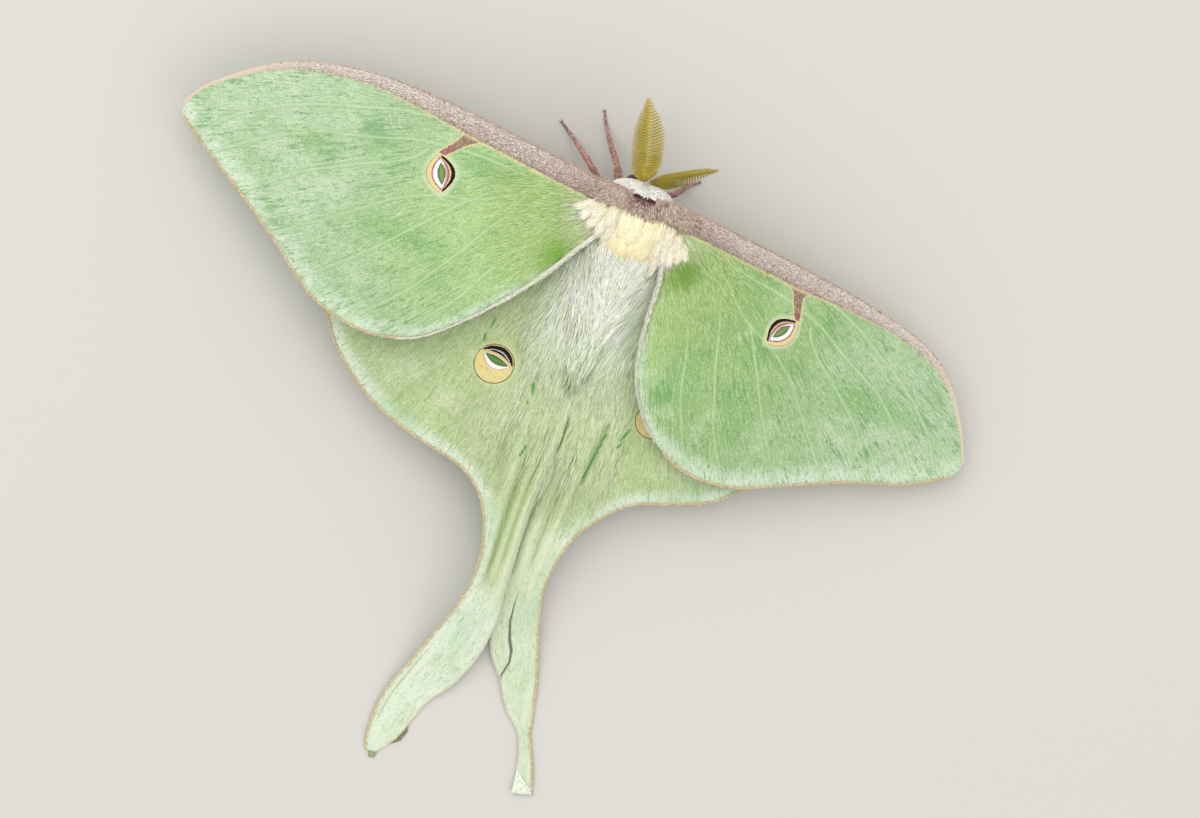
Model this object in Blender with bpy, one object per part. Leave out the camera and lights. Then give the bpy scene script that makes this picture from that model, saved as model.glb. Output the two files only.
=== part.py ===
"""Luna moth at life size, at rest with its wings spread flat: a still model in metres, +Z up.

The head points along -Y and the tails along +Y, so the moth's own left side is +X. The sizes below
are in millimetres, from a point on the floor under the thorax. The six feet and the ends of both
tails rest on small flats at z = 0, and the whole moth is moved at the end so that the middle of its
footprint is the origin.
"""
import math

import bmesh
import bpy
from mathutils import Vector

MM = 0.001
GAP = 0.3  # clear space between two solids that meet
WING_THICKNESS = 0.55
SQUARENESS = 2.4  # exponent of the trunk's cross-section, 2 is an ellipse
TRUNK_SIDES = 20
TRUNK_STEPS = 2  # rings between two stations of the trunk
LEG_SIDES = 8

# Trunk: place along the body, height of its middle, half width and half height, coat included.
TRUNK = (
    (-2.75, 9.7, 1.5, 0.9),
    (-2.55, 9.6, 2.6, 1.8),
    (-2.1, 9.4, 3.7, 2.6),
    (-1.5, 9.2, 4.3, 3.4),
    (-0.5, 9.0, 4.6, 4.0),
    (1.0, 9.0, 4.8, 4.4),
    (3.0, 8.9, 4.8, 4.7),
    (5.5, 8.6, 4.4, 4.3),
    (7.6, 8.2, 3.7, 3.6),
    (9.5, 7.8, 3.4, 3.3),
    (12.0, 7.2, 3.1, 3.0),
    (15.0, 6.2, 2.6, 2.5),
    (18.0, 5.2, 2.1, 2.0),
    (20.5, 4.4, 1.5, 1.4),
    (22.0, 4.0, 0.7, 0.7),
)
# Where the trunk is parted: name, front end, rear end.
TRUNK_PARTS = (
    ("crest", -2.75, -1.15),
    ("collar", -0.85, 1.0),
    ("thorax", 1.3, 7.4),
    ("abdomen", 7.7, 22.0),
)
HEAD = (
    (-3.4, 7.9, 0.45, 0.5),
    (-3.15, 8.0, 0.95, 1.1),
    (-2.6, 8.1, 1.2, 1.6),
    (-2.0, 8.1, 1.3, 1.75),
    (-1.45, 8.0, 1.15, 1.5),
)
EYE_CENTRE = (1.25, -2.35, 8.15)
EYE_RADIUS = 0.85
PALP_CENTRE = (0.55, -3.75, 6.75)
PALP_HALF_SIZES = (0.32, 0.75, 0.4)

# Antennae: points of the shaft from inside the head to the tip, roll about the shaft in degrees.
ANTENNAE = {
    "left": (((0.4, -2.6, 9.2), (0.85, -4.0, 10.2), (1.95, -7.9, 10.9), (3.5, -12.1, 11.0)), 0.0),
    "right": (((-0.4, -2.6, 9.2), (-1.2, -3.45, 9.95), (-3.9, -4.8, 9.3), (-8.0, -6.9, 7.0)), -62.0),
}
ANTENNA_STEPS = 6
ANTENNA_HALF_WIDTH = 2.05
ANTENNA_SHAFT_RADIUS = 0.36
ANTENNA_EDGE = 0.26  # half thickness at the tips of the combs
ANTENNA_DIHEDRAL = 0.28  # rise of the combs for each mm away from the shaft
# How full the comb is along the shaft: place from root to tip, share of the full half width.
COMB_OUTLINE = (
    (0.0, 0.0), (0.1, 0.0), (0.17, 0.42), (0.28, 0.78), (0.42, 0.97), (0.56, 1.0),
    (0.7, 0.86), (0.82, 0.58), (0.92, 0.22), (1.0, 0.0),
)

# Wings: height of the plane over the hinge, falls outward and backward, drop of the tip. Each chord
# runs from the leading rail to the trailing rail, x outward from the midline and y backward.
HINGE_X = 4.3
FOREWINGS = {
    "left": {
        "height": 12.5, "fall_out": 0.1405, "fall_back": 0.0, "tip_drop": 0.8, "arch": 0.7,
        "chords": (
            (2.6, -1.3, 2.6, 2.6), (8.1, -1.9, 5.2, 6.2), (14.2, -2.7, 8.9, 12.0),
            (21.4, -3.6, 14.2, 18.2), (27.7, -4.1, 19.6, 22.7), (33.5, -4.1, 25.8, 23.9),
            (39.4, -3.2, 32.2, 22.0), (44.2, -1.4, 38.3, 17.4), (48.4, 1.5, 44.0, 13.4),
            (51.2, 4.1, 48.8, 10.3), (52.6, 6.4, 52.2, 7.8),
        ),
    },
    "right": {
        "height": 12.5, "fall_out": 0.1499, "fall_back": 0.1195, "tip_drop": 0.8, "arch": 0.7,
        "chords": (
            (2.6, -1.9, 2.8, 1.8), (7.3, -1.5, 4.6, 6.4), (12.8, -0.8, 5.2, 12.6),
            (19.0, 0.0, 6.6, 18.8), (25.0, 0.9, 10.2, 24.0), (31.1, 2.0, 16.0, 27.5),
            (36.6, 3.4, 22.6, 27.8), (41.0, 5.2, 29.0, 25.6), (44.6, 8.1, 36.1, 23.0),
            (47.6, 12.0, 43.5, 21.0), (50.0, 16.3, 49.4, 18.2),
        ),
    },
}
HINDWINGS = {
    "left": {
        "height": 10.5, "fall_out": 0.1051, "fall_back": 0.1057, "tip_drop": 0.0, "arch": 0.0,
        "lands_from": 44.0, "lands_by": 68.0,
        "chords": (
            (3.4, 2.6, 3.4, 6.6), (10.5, 4.2, 3.6, 9.6), (18.0, 8.4, 3.0, 12.6),
            (25.0, 14.0, 1.9, 15.4), (29.8, 20.2, 0.8, 18.4), (28.3, 25.2, 0.0, 22.5),
            (24.2, 29.4, -0.5, 26.5), (19.4, 32.4, -0.8, 30.0), (14.0, 34.2, -0.9, 33.3),
            (8.8, 35.5, -1.0, 36.4), (5.2, 38.2, -1.1, 38.9),
        ),
        "tail": (
            (5.2, 38.2, -1.1, 38.9), (3.2, 42.4, -1.4, 43.2), (2.5, 46.5, -1.8, 48.0),
            (2.7, 51.0, -2.4, 52.6), (4.0, 56.2, -2.2, 57.0), (5.2, 60.3, -0.8, 61.4),
            (6.5, 64.0, 1.4, 64.7), (7.1, 67.4, 2.4, 67.5), (7.0, 70.6, 3.5, 70.2),
            (6.5, 72.5, 5.2, 72.4),
        ),
    },
    "right": {
        "height": 9.5, "fall_out": 0.1051, "fall_back": 0.1057, "tip_drop": 0.0, "arch": 0.0,
        "lands_from": 40.0, "lands_by": 63.0,
        "chords": (
            (3.4, 2.6, 3.4, 6.6), (9.5, 5.5, 3.6, 9.6), (17.0, 10.8, 3.1, 13.2),
            (23.5, 17.0, 2.3, 16.4), (27.6, 22.6, 1.2, 19.2), (26.5, 25.8, 0.8, 22.5),
            (22.4, 30.0, 0.7, 26.5), (17.6, 32.0, 0.7, 30.0), (12.8, 33.6, 0.8, 33.2),
            (9.4, 36.6, 0.9, 36.4), (7.5, 39.5, 1.0, 39.2),
        ),
        "tail": (
            (7.5, 39.5, 1.0, 39.2), (6.6, 43.0, 1.1, 43.6), (6.5, 46.9, 1.5, 48.0),
            (7.7, 51.2, 2.2, 52.4), (9.1, 55.0, 3.6, 56.4), (10.2, 58.2, 5.9, 59.4),
            (11.2, 61.9, 7.8, 62.5), (11.9, 65.0, 10.2, 64.9), (13.3, 68.0, 11.4, 67.9),
            (14.6, 71.6, 12.2, 72.1),
        ),
    },
}
FOREWING_GRID = (3, 8)  # columns between two chords, rows across
HINDWING_GRID = (2, 8)
TAIL_GRID = (2, 4)

# Legs: points from inside the trunk to the claw, the last two on the floor.
FOOT_Z = 0.24
LEG_RADII = (0.8, 0.7, 0.6, 0.52, 0.42, 0.33, 0.3)
LEGS = {
    "foreleg_left": ((1.4, -0.3, 6.4), (2.2, -1.9, 4.6), (3.0, -3.5, 4.3), (4.1, -5.3, 2.6),
                     (4.8, -6.8, 0.8), (5.2, -7.6, FOOT_Z), (5.7, -8.6, FOOT_Z)),
    "foreleg_right": ((-1.4, -0.1, 6.4), (-2.6, -1.3, 4.9), (-4.2, -2.2, 4.5), (-5.5, -3.0, 2.8),
                      (-6.4, -3.6, 0.8), (-7.0, -4.0, FOOT_Z), (-7.8, -4.6, FOOT_Z)),
    "midleg_left": ((1.5, 1.5, 6.2), (3.4, 0.0, 4.9), (5.1, -1.7, 5.0), (6.9, -3.2, 4.0),
                    (8.4, -4.6, 1.2), (9.1, -5.2, FOOT_Z), (10.0, -5.8, FOOT_Z)),
    "midleg_right": ((-1.5, 1.2, 6.2), (-3.4, 0.6, 4.9), (-5.4, 0.5, 5.0), (-7.4, 1.0, 3.9),
                     (-9.0, 1.9, 1.2), (-9.9, 2.5, FOOT_Z), (-10.9, 3.2, FOOT_Z)),
    "hindleg_left": ((1.5, 3.4, 6.0), (3.1, 5.2, 4.3), (4.8, 7.4, 4.6), (6.3, 9.7, 3.6),
                     (7.3, 12.0, 1.2), (7.8, 13.2, FOOT_Z), (8.3, 14.4, FOOT_Z)),
    "hindleg_right": ((-1.5, 3.4, 6.0), (-3.1, 5.2, 4.3), (-5.0, 7.2, 4.6), (-6.8, 9.2, 3.6),
                      (-8.0, 11.3, 1.2), (-8.6, 12.4, FOOT_Z), (-9.2, 13.6, FOOT_Z)),
}

COLOURS = {
    "crest": ("F1EEE6", 0.9),
    "head": ("EDE6D4", 0.9),
    "collar": ("9C7F82", 0.9),
    "thorax": ("F0E3B4", 0.9),
    "abdomen": ("F1F1EA", 0.9),
    "eye": ("0B0A0A", 0.15),
    "antenna": ("B7A246", 0.6),
    "palp": ("C9A0A0", 0.9),
    "forewing": ("A9CB86", 0.75),
    "hindwing": ("BACD97", 0.75),
    "tail": ("C9D8B8", 0.75),
    "leg": ("A97474", 0.8),
}
SIDES = {"left": 1.0, "right": -1.0}


def clear_scene():
    """Remove every object of the scene."""
    for old in list(bpy.data.objects):
        bpy.data.objects.remove(old, do_unlink=True)


def linear(channel):
    """Return the linear value of one sRGB channel, 0 to 1."""
    return channel / 12.92 if channel <= 0.04045 else ((channel + 0.055) / 1.055) ** 2.4


def material(kind):
    """Return the Principled material of one kind of part."""
    found = bpy.data.materials.get(kind)
    if found:
        return found
    colour, roughness = COLOURS[kind]
    made = bpy.data.materials.new(kind)
    made.use_nodes = True
    shader = made.node_tree.nodes["Principled BSDF"]
    channels = [linear(int(colour[i:i + 2], 16) / 255.0) for i in (0, 2, 4)]
    shader.inputs["Base Color"].default_value = (*channels, 1.0)
    shader.inputs["Roughness"].default_value = roughness
    shader.inputs["Metallic"].default_value = 0.0
    return made


def add_object(name, bm, root, kind=None):
    """Turn a bmesh in millimetres into an object under the moth's empty."""
    bmesh.ops.recalc_face_normals(bm, faces=bm.faces)
    bmesh.ops.scale(bm, vec=(MM, MM, MM), verts=bm.verts)
    mesh = bpy.data.meshes.new(name)
    bm.to_mesh(mesh)
    bm.free()
    mesh.shade_smooth()
    mesh.set_sharp_from_angle(angle=math.radians(40))
    made = bpy.data.objects.new(name, mesh)
    bpy.context.collection.objects.link(made)
    made.parent = root
    if kind:
        mesh.materials.append(material(kind))
    else:
        made.hide_render = True
        made.display_type = "WIRE"
    return made


def carve(solid, cutters):
    """Cut a solid back to the clear space round its neighbours."""
    for cutter in cutters:
        cut = solid.modifiers.new("Fit to " + cutter.name, "BOOLEAN")
        cut.operation = "DIFFERENCE"
        cut.solver = "EXACT"
        cut.object = cutter


def smooth_path(points, steps):
    """Return a smooth run of points through the given ones, with steps places between each two."""
    ends = [Vector(p) for p in points]
    padded = [2 * ends[0] - ends[1]] + ends + [2 * ends[-1] - ends[-2]]
    path = []
    for a, b, c, d in zip(padded, padded[1:], padded[2:], padded[3:]):
        for step in range(steps):
            t = step / steps
            bend = 2 * a - 5 * b + 4 * c - d
            twist = 3 * b - a - 3 * c + d
            path.append(b + 0.5 * t * ((c - a) + t * (bend + t * twist)))
    path.append(ends[-1])
    return path


def bridge_rings(bm, rings):
    """Join rings of points into one closed body with capped ends."""
    made = [[bm.verts.new(p) for p in ring] for ring in rings]
    for near, far in zip(made, made[1:]):
        for i, corner in enumerate(near):
            after = (i + 1) % len(near)
            bm.faces.new((corner, near[after], far[after], far[i]))
    bm.faces.new(made[0])
    bm.faces.new(made[-1])


def oval_ring(y, middle_z, half_width, half_height, sides):
    """Return the points of one superellipse across the body."""
    ring = []
    for i in range(sides):
        angle = 2 * math.pi * i / sides
        across, up = math.cos(angle), math.sin(angle)
        x = math.copysign(abs(across) ** (2 / SQUARENESS), across) * half_width
        z = math.copysign(abs(up) ** (2 / SQUARENESS), up) * half_height
        ring.append(Vector((x, y, middle_z + z)))
    return ring


def station_at(stations, y):
    """Return middle height, half width and half height of a body at one place along it."""
    for (y0, *low), (y1, *high) in zip(stations, stations[1:]):
        if y <= y1:
            share = (y - y0) / (y1 - y0)
            return [a + (b - a) * share for a, b in zip(low, high)]
    return list(stations[-1][1:])


def body_stations(stations, front, rear):
    """Return smooth stations of a body between two places, with its exact ends."""
    smooth = [tuple(p) for p in smooth_stations(stations)]
    inside = [s for s in smooth if front + 0.15 < s[0] < rear - 0.15]
    return [(front, *station_at(smooth, front)), *inside, (rear, *station_at(smooth, rear))]


def smooth_stations(stations):
    """Return stations eased between the given ones, place by place."""
    upper = smooth_path([(s[0], s[1], s[2]) for s in stations], TRUNK_STEPS)
    lower = smooth_path([(s[0], s[1], s[3]) for s in stations], TRUNK_STEPS)
    return [(u.x, u.y, u.z, w.z) for u, w in zip(upper, lower)]


def oval_body(stations, grow=0.0):
    """Return a bmesh of a body from its stations, grown all over for a cutter."""
    stations = list(stations)
    front, rear = stations[0], stations[-1]
    stations[0] = (front[0] - grow, *front[1:])
    stations[-1] = (rear[0] + grow, *rear[1:])
    bm = bmesh.new()
    rings = [oval_ring(y, z, w + grow, h + grow, TRUNK_SIDES) for y, z, w, h in stations]
    bridge_rings(bm, rings)
    return bm


def ball(centre, half_sizes, segments=16, rings=10):
    """Return a bmesh of a ball with its own half sizes."""
    bm = bmesh.new()
    bmesh.ops.create_uvsphere(bm, u_segments=segments, v_segments=rings, radius=1.0)
    bmesh.ops.scale(bm, vec=half_sizes, verts=bm.verts)
    bmesh.ops.translate(bm, vec=centre, verts=bm.verts)
    return bm


def mirrored(point, side):
    """Return a point given for the left side, on the asked side."""
    return (point[0] * side, point[1], point[2])


def build_trunk(root):
    """Build crest, collar, thorax and abdomen, and the helper that fits wings and legs to them."""
    parts = {}
    for name, front, rear in TRUNK_PARTS:
        bm = oval_body(body_stations(TRUNK, front, rear))
        parts[name] = add_object(name, bm, root, name)
    whole = body_stations(TRUNK, TRUNK[0][0], TRUNK[-1][0])
    return parts, add_object("trunk_space", oval_body(whole, GAP), root)


def build_head(root, crest):
    """Build the head with its eyes and palps, sunk in the underside of the crest."""
    stations = smooth_stations(HEAD)
    head = add_object("head", oval_body(stations), root, "head")
    head_space = add_object("head_space", oval_body(stations, GAP), root)
    carve(crest, [head_space])
    for side, sign in SIDES.items():
        centre = mirrored(EYE_CENTRE, sign)
        eye = add_object("eye_" + side, ball(centre, (EYE_RADIUS,) * 3), root, "eye")
        carve(eye, [head_space])
        eye_space = add_object("eye_space_" + side, ball(centre, (EYE_RADIUS + GAP,) * 3), root)
        carve(crest, [eye_space])
        palp = ball(mirrored(PALP_CENTRE, sign), PALP_HALF_SIZES, 12, 8)
        carve(add_object("palp_" + side, palp, root, "palp"), [head_space])
    return head, head_space


def comb_share(place):
    """Return how full the comb is at one place from root (0) to tip (1)."""
    for (p0, s0), (p1, s1) in zip(COMB_OUTLINE, COMB_OUTLINE[1:]):
        if place <= p1:
            return s0 + (s1 - s0) * (place - p0) / (p1 - p0)
    return 0.0


def build_antenna(side, root, head_space):
    """Build one antenna: a shaft with its two combs as one feather-shaped blade."""
    points, roll = ANTENNAE[side]
    path = smooth_path(points, ANTENNA_STEPS)
    lengths = [(b - a).length for a, b in zip(path, path[1:])]
    turn = math.radians(roll)
    rings = []
    for i, centre in enumerate(path):
        along = (path[min(i + 1, len(path) - 1)] - path[max(i - 1, 0)]).normalized()
        level = along.cross(Vector((0.0, 0.0, 1.0))).normalized()
        across = level * math.cos(turn) + level.cross(along) * math.sin(turn)
        face = across.cross(along)
        place = sum(lengths[:i]) / sum(lengths)
        shaft = ANTENNA_SHAFT_RADIUS * (1.0 - 0.25 * place)
        reach = shaft + (ANTENNA_HALF_WIDTH - shaft) * comb_share(place)
        profile = []
        for share, half in ((-1, ANTENNA_EDGE), (-0.5, ANTENNA_EDGE), (0, shaft),
                            (0.5, ANTENNA_EDGE), (1, ANTENNA_EDGE)):
            profile.append((share * reach, abs(share) * reach * ANTENNA_DIHEDRAL, half))
        upper = [centre + across * s + face * (lift + half) for s, lift, half in profile]
        under = [centre + across * s + face * (lift - half) for s, lift, half in reversed(profile)]
        rings.append(upper + under)
    bm = bmesh.new()
    bridge_rings(bm, rings)
    carve(add_object("antenna_" + side, bm, root, "antenna"), [head_space])


def ease(low, high, value):
    """Return 0 below low, 1 above high and a smooth rise between."""
    t = min(max((value - low) / (high - low), 0.0), 1.0)
    return t * t * (3 - 2 * t)


def wing_height(wing, x, y, along, across):
    """Return the height of the middle of a wing's membrane over the floor."""
    out = max(x - HINGE_X, 0.0)
    plane = wing["height"] - wing["fall_out"] * (x - HINGE_X) - wing["fall_back"] * y
    plane -= wing["tip_drop"] * (out / 47.0) ** 3
    plane += wing["arch"] * 4 * across * (1 - across) * (1 - along) * ease(0.0, 0.12, along)
    if "lands_by" in wing:
        landed = ease(wing["lands_from"], wing["lands_by"], y)
        plane += (WING_THICKNESS / 2 - plane) * landed
    return plane


def build_membrane(name, kind, wing, chords, grid, sign, root, start_gap=0.0):
    """Build one sheet of wing between its leading and trailing rails."""
    columns, rows = grid
    lead = smooth_path([(c[0], c[1], 0.0) for c in chords], columns)
    trail = smooth_path([(c[2], c[3], 0.0) for c in chords], columns)
    bm = bmesh.new()
    lines = []
    for i, (front, back) in enumerate(zip(lead, trail)):
        along = i / (len(lead) - 1)
        line = []
        for row in range(rows + 1):
            across = row / rows
            place = front.lerp(back, across)
            if i == 0:
                place.y += start_gap
            z = wing_height(wing, place.x, place.y, along, across)
            line.append(bm.verts.new((sign * place.x, place.y, z)))
        lines.append(line)
    for near, far in zip(lines, lines[1:]):
        for a, b, c, d in zip(near, near[1:], far[1:], far):
            bm.faces.new((a, b, c, d))
    sheet = add_object(name, bm, root, kind)
    thick = sheet.modifiers.new("Membrane", "SOLIDIFY")
    thick.thickness = WING_THICKNESS * MM
    thick.offset = 0.0
    return sheet


def build_wings(root, trunk_space):
    """Build both forewings, hindwings and hindwing tails."""
    for side, sign in SIDES.items():
        fore, hind = FOREWINGS[side], HINDWINGS[side]
        sheet = build_membrane(
            "forewing_" + side, "forewing", fore, fore["chords"], FOREWING_GRID, sign, root)
        carve(sheet, [trunk_space])
        sheet = build_membrane(
            "hindwing_" + side, "hindwing", hind, hind["chords"], HINDWING_GRID, sign, root)
        carve(sheet, [trunk_space])
        build_membrane("tail_" + side, "tail", hind, hind["tail"], TAIL_GRID, sign, root, GAP)


def build_leg(name, points, root, trunk_space):
    """Build one leg as a tapered tube, flat where it lies on the floor."""
    path = smooth_path(points, 2)
    radii = [r.x for r in smooth_path([(r, 0.0, 0.0) for r in LEG_RADII], 2)]
    rings = []
    side = (path[1] - path[0]).cross(Vector((0.0, 0.0, 1.0))).normalized()
    for i, (centre, radius) in enumerate(zip(path, radii)):
        along = (path[min(i + 1, len(path) - 1)] - path[max(i - 1, 0)]).normalized()
        side = (side - along * side.dot(along)).normalized()
        up = side.cross(along)
        ring = []
        for k in range(LEG_SIDES):
            angle = 2 * math.pi * (k + 0.5) / LEG_SIDES
            point = centre + radius * (side * math.cos(angle) + up * math.sin(angle))
            point.z = max(point.z, 0.0)
            ring.append(point)
        rings.append(ring)
    bm = bmesh.new()
    bridge_rings(bm, rings)
    carve(add_object(name, bm, root, "leg"), [trunk_space])


def centre_footprint(root):
    """Move the moth so that the middle of its footprint is the origin."""
    bpy.context.view_layer.update()
    view = bpy.context.evaluated_depsgraph_get()
    corners = []
    for part in root.children:
        if part.hide_render:
            continue
        seen = part.evaluated_get(view)
        corners += [seen.matrix_world @ Vector(corner) for corner in seen.bound_box]
    for axis in (0, 1):
        places = [corner[axis] for corner in corners]
        root.location[axis] = -(min(places) + max(places)) / 2


def main():
    """Build the whole moth."""
    clear_scene()
    root = bpy.data.objects.new("moth", None)
    bpy.context.collection.objects.link(root)
    parts, trunk_space = build_trunk(root)
    _, head_space = build_head(root, parts["crest"])
    for side in SIDES:
        build_antenna(side, root, head_space)
    build_wings(root, trunk_space)
    for name, points in LEGS.items():
        build_leg(name, points, root, trunk_space)
    centre_footprint(root)


main()
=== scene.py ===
"""Luna moth, life size and still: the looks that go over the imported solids.

Sizes in the tables are millimetres from a point on the floor under the thorax, with the head towards
-Y and the moth's own left side towards +X. Wing tables give x outward from the midline for both sides.
"""
import math

import bmesh
import bpy
import numpy as np
from mathutils import Matrix, Vector
from mathutils.bvhtree import BVHTree


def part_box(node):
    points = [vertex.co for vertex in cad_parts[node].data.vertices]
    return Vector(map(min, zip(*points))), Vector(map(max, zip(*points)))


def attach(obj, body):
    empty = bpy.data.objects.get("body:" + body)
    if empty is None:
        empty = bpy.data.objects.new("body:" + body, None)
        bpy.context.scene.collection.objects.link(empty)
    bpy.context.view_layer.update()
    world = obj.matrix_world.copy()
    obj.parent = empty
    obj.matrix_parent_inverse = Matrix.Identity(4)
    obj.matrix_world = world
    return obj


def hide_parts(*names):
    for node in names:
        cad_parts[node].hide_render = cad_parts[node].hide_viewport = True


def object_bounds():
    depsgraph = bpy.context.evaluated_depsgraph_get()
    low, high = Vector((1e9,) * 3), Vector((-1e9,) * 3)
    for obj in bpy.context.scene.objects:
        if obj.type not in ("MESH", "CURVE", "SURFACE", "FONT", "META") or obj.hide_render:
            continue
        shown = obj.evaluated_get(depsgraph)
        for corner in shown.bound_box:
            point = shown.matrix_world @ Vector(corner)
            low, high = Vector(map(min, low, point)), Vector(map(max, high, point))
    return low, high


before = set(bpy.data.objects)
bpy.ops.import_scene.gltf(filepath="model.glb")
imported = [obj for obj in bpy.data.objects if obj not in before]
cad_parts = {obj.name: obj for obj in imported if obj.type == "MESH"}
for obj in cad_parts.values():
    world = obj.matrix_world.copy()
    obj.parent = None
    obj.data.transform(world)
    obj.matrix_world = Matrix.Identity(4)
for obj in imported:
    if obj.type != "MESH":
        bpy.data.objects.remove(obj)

bl_info = {
    "name": "Luna Moth", "version": (1, 0, 0), "blender": (4, 5, 0), "location": "View3D > Sidebar > Moth",
    "description": "Builds a life-size luna moth with scaled wings, woolly body and combed antennae",
    "category": "Add Mesh",
}

CAD_BOX = [list(corner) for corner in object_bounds()]

MM = 0.001
SIDES = {"left": 1, "right": -1}
BODY = "root"
THORAX_FRONT = 1.3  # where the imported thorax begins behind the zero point
SEED = 20
UP = (0.0, 0.0, 1.0)
FOREWING_SHEETS = ("forewing_left_membrane", "forewing_right_membrane")
HINDWING_SHEETS = ("hindwing_left_membrane", "hindwing_right_membrane")

# Trunk: place along the body, height of its middle, half width and half height with the coat on.
TRUNK = (
    (-2.75, 9.7, 1.5, 0.9), (-2.55, 9.6, 2.6, 1.8), (-2.1, 9.4, 3.7, 2.6), (-1.5, 9.2, 4.3, 3.4), (-0.5, 9, 4.6, 4),
    (1, 9, 4.8, 4.4), (3, 8.9, 4.8, 4.7), (5.5, 8.6, 4.4, 4.3), (7.6, 8.2, 3.7, 3.6), (9.5, 7.8, 3.4, 3.3),
    (12, 7.2, 3.1, 3), (15, 6.2, 2.6, 2.5), (18, 5.2, 2.1, 2), (20.5, 4.4, 1.5, 1.4), (22, 4, 0.7, 0.7),
)
HEAD = (
    (-3.4, 7.9, 0.45, 0.5), (-3.15, 8, 0.95, 1.1), (-2.6, 8.1, 1.2, 1.6), (-2, 8.1, 1.3, 1.75), (-1.45, 8, 1.15, 1.5),
)
SQUARENESS = 2.4
HEAD_MIDDLE = -1.4
EYE_CENTRE = (1.25, -2.35, 8.15)
PALP_CENTRE = (0.55, -3.75, 6.75)
PALP_HALF_SIZES = (0.3, 0.72, 0.37)

ANTENNAE = {
    "left": (((0.4, -2.6, 9.2), (0.85, -4, 10.2), (1.95, -7.9, 10.9), (3.5, -12.1, 11)), 0),
    "right": (((-0.4, -2.6, 9.2), (-1.2, -3.45, 9.95), (-3.9, -4.8, 9.3), (-8, -6.9, 7)), -54),
}
COMB_OUTLINE = (
    (0, 0.1), (0.1, 0.16), (0.17, 0.46), (0.28, 0.8), (0.42, 0.97), (0.56, 1), (0.7, 0.88), (0.82, 0.62), (0.92, 0.3),
    (1, 0.08),
)

HINGE_X = 4.3
# 'shade' is how much painted shade darkens the wing beyond its root: none on the left wing, half on the right one,
# which is away from the key light.
FOREWINGS = {
    "left": {
        "height": 12.5, "fall_out": 0.1405, "fall_back": 0, "tip_drop": 0.8, "arch": 0.7, "turn": 0,
        "stalk_top": (20.9, -1.6),
        "eyespot": (23, 4, 111), "seed": 3, "shade": 0,
        "stalk": (
            (21.3, -2.4), (21.8, -1.3), (22.4, -0.15), (23, 0.55), (23.5, 1.25), (23.95, 1.75), (23.85, 2.1),
            (23.35, 2), (22.85, 1.65), (22.2, 0.95), (21.2, 0), (20.3, -0.65), (19.3, -1), (18, -1.1), (18, -2.2),
        ),
        "chords": (
            (2.6, -1.3, 2.6, 2.6), (8.1, -1.9, 5.2, 6.2), (14.2, -2.7, 8.9, 12), (21.4, -3.6, 14.2, 18.2),
            (27.7, -4.1, 19.6, 22.7), (33.5, -4.1, 25.8, 23.9), (39.4, -3.2, 32.2, 22), (44.2, -1.4, 38.3, 17.4),
            (48.4, 1.5, 44, 13.4), (51.2, 4.1, 48.8, 10.3), (52.6, 6.4, 52.2, 7.8),
        ),
    },
    "right": {
        "height": 12.5, "fall_out": 0.1499, "fall_back": 0.1195, "tip_drop": 0.8, "arch": 0.7, "turn": 13,
        "stalk_top": (21.4, 2.6),
        "eyespot": (21.3, 8.2, 128), "seed": 11, "shade": 0.5,
        "stalk": (
            (24.2, 1.9), (24, 2.75), (23, 2.9), (22.3, 3.3), (22.15, 3.8), (22.35, 4.5), (22.65, 5.6), (22.85, 6.6),
            (22.5, 6.75), (21.9, 5.8), (21.3, 4.6), (20.9, 3.6), (20.4, 3), (19.5, 2.6), (18.4, 2.4), (18.4, 1.2),
        ),
        "chords": (
            (2.6, -1.9, 2.8, 1.8), (7.3, -1.5, 4.6, 6.4), (12.8, -0.8, 5.2, 12.6), (19, 0, 6.6, 18.8),
            (25, 0.9, 10.2, 24), (31.1, 2, 16, 27.5), (36.6, 3.4, 22.6, 27.8), (41, 5.2, 29, 25.6),
            (44.6, 8.1, 36.1, 23), (47.6, 12, 43.5, 21), (50, 16.3, 49.4, 18.2),
        ),
    },
}
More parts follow.
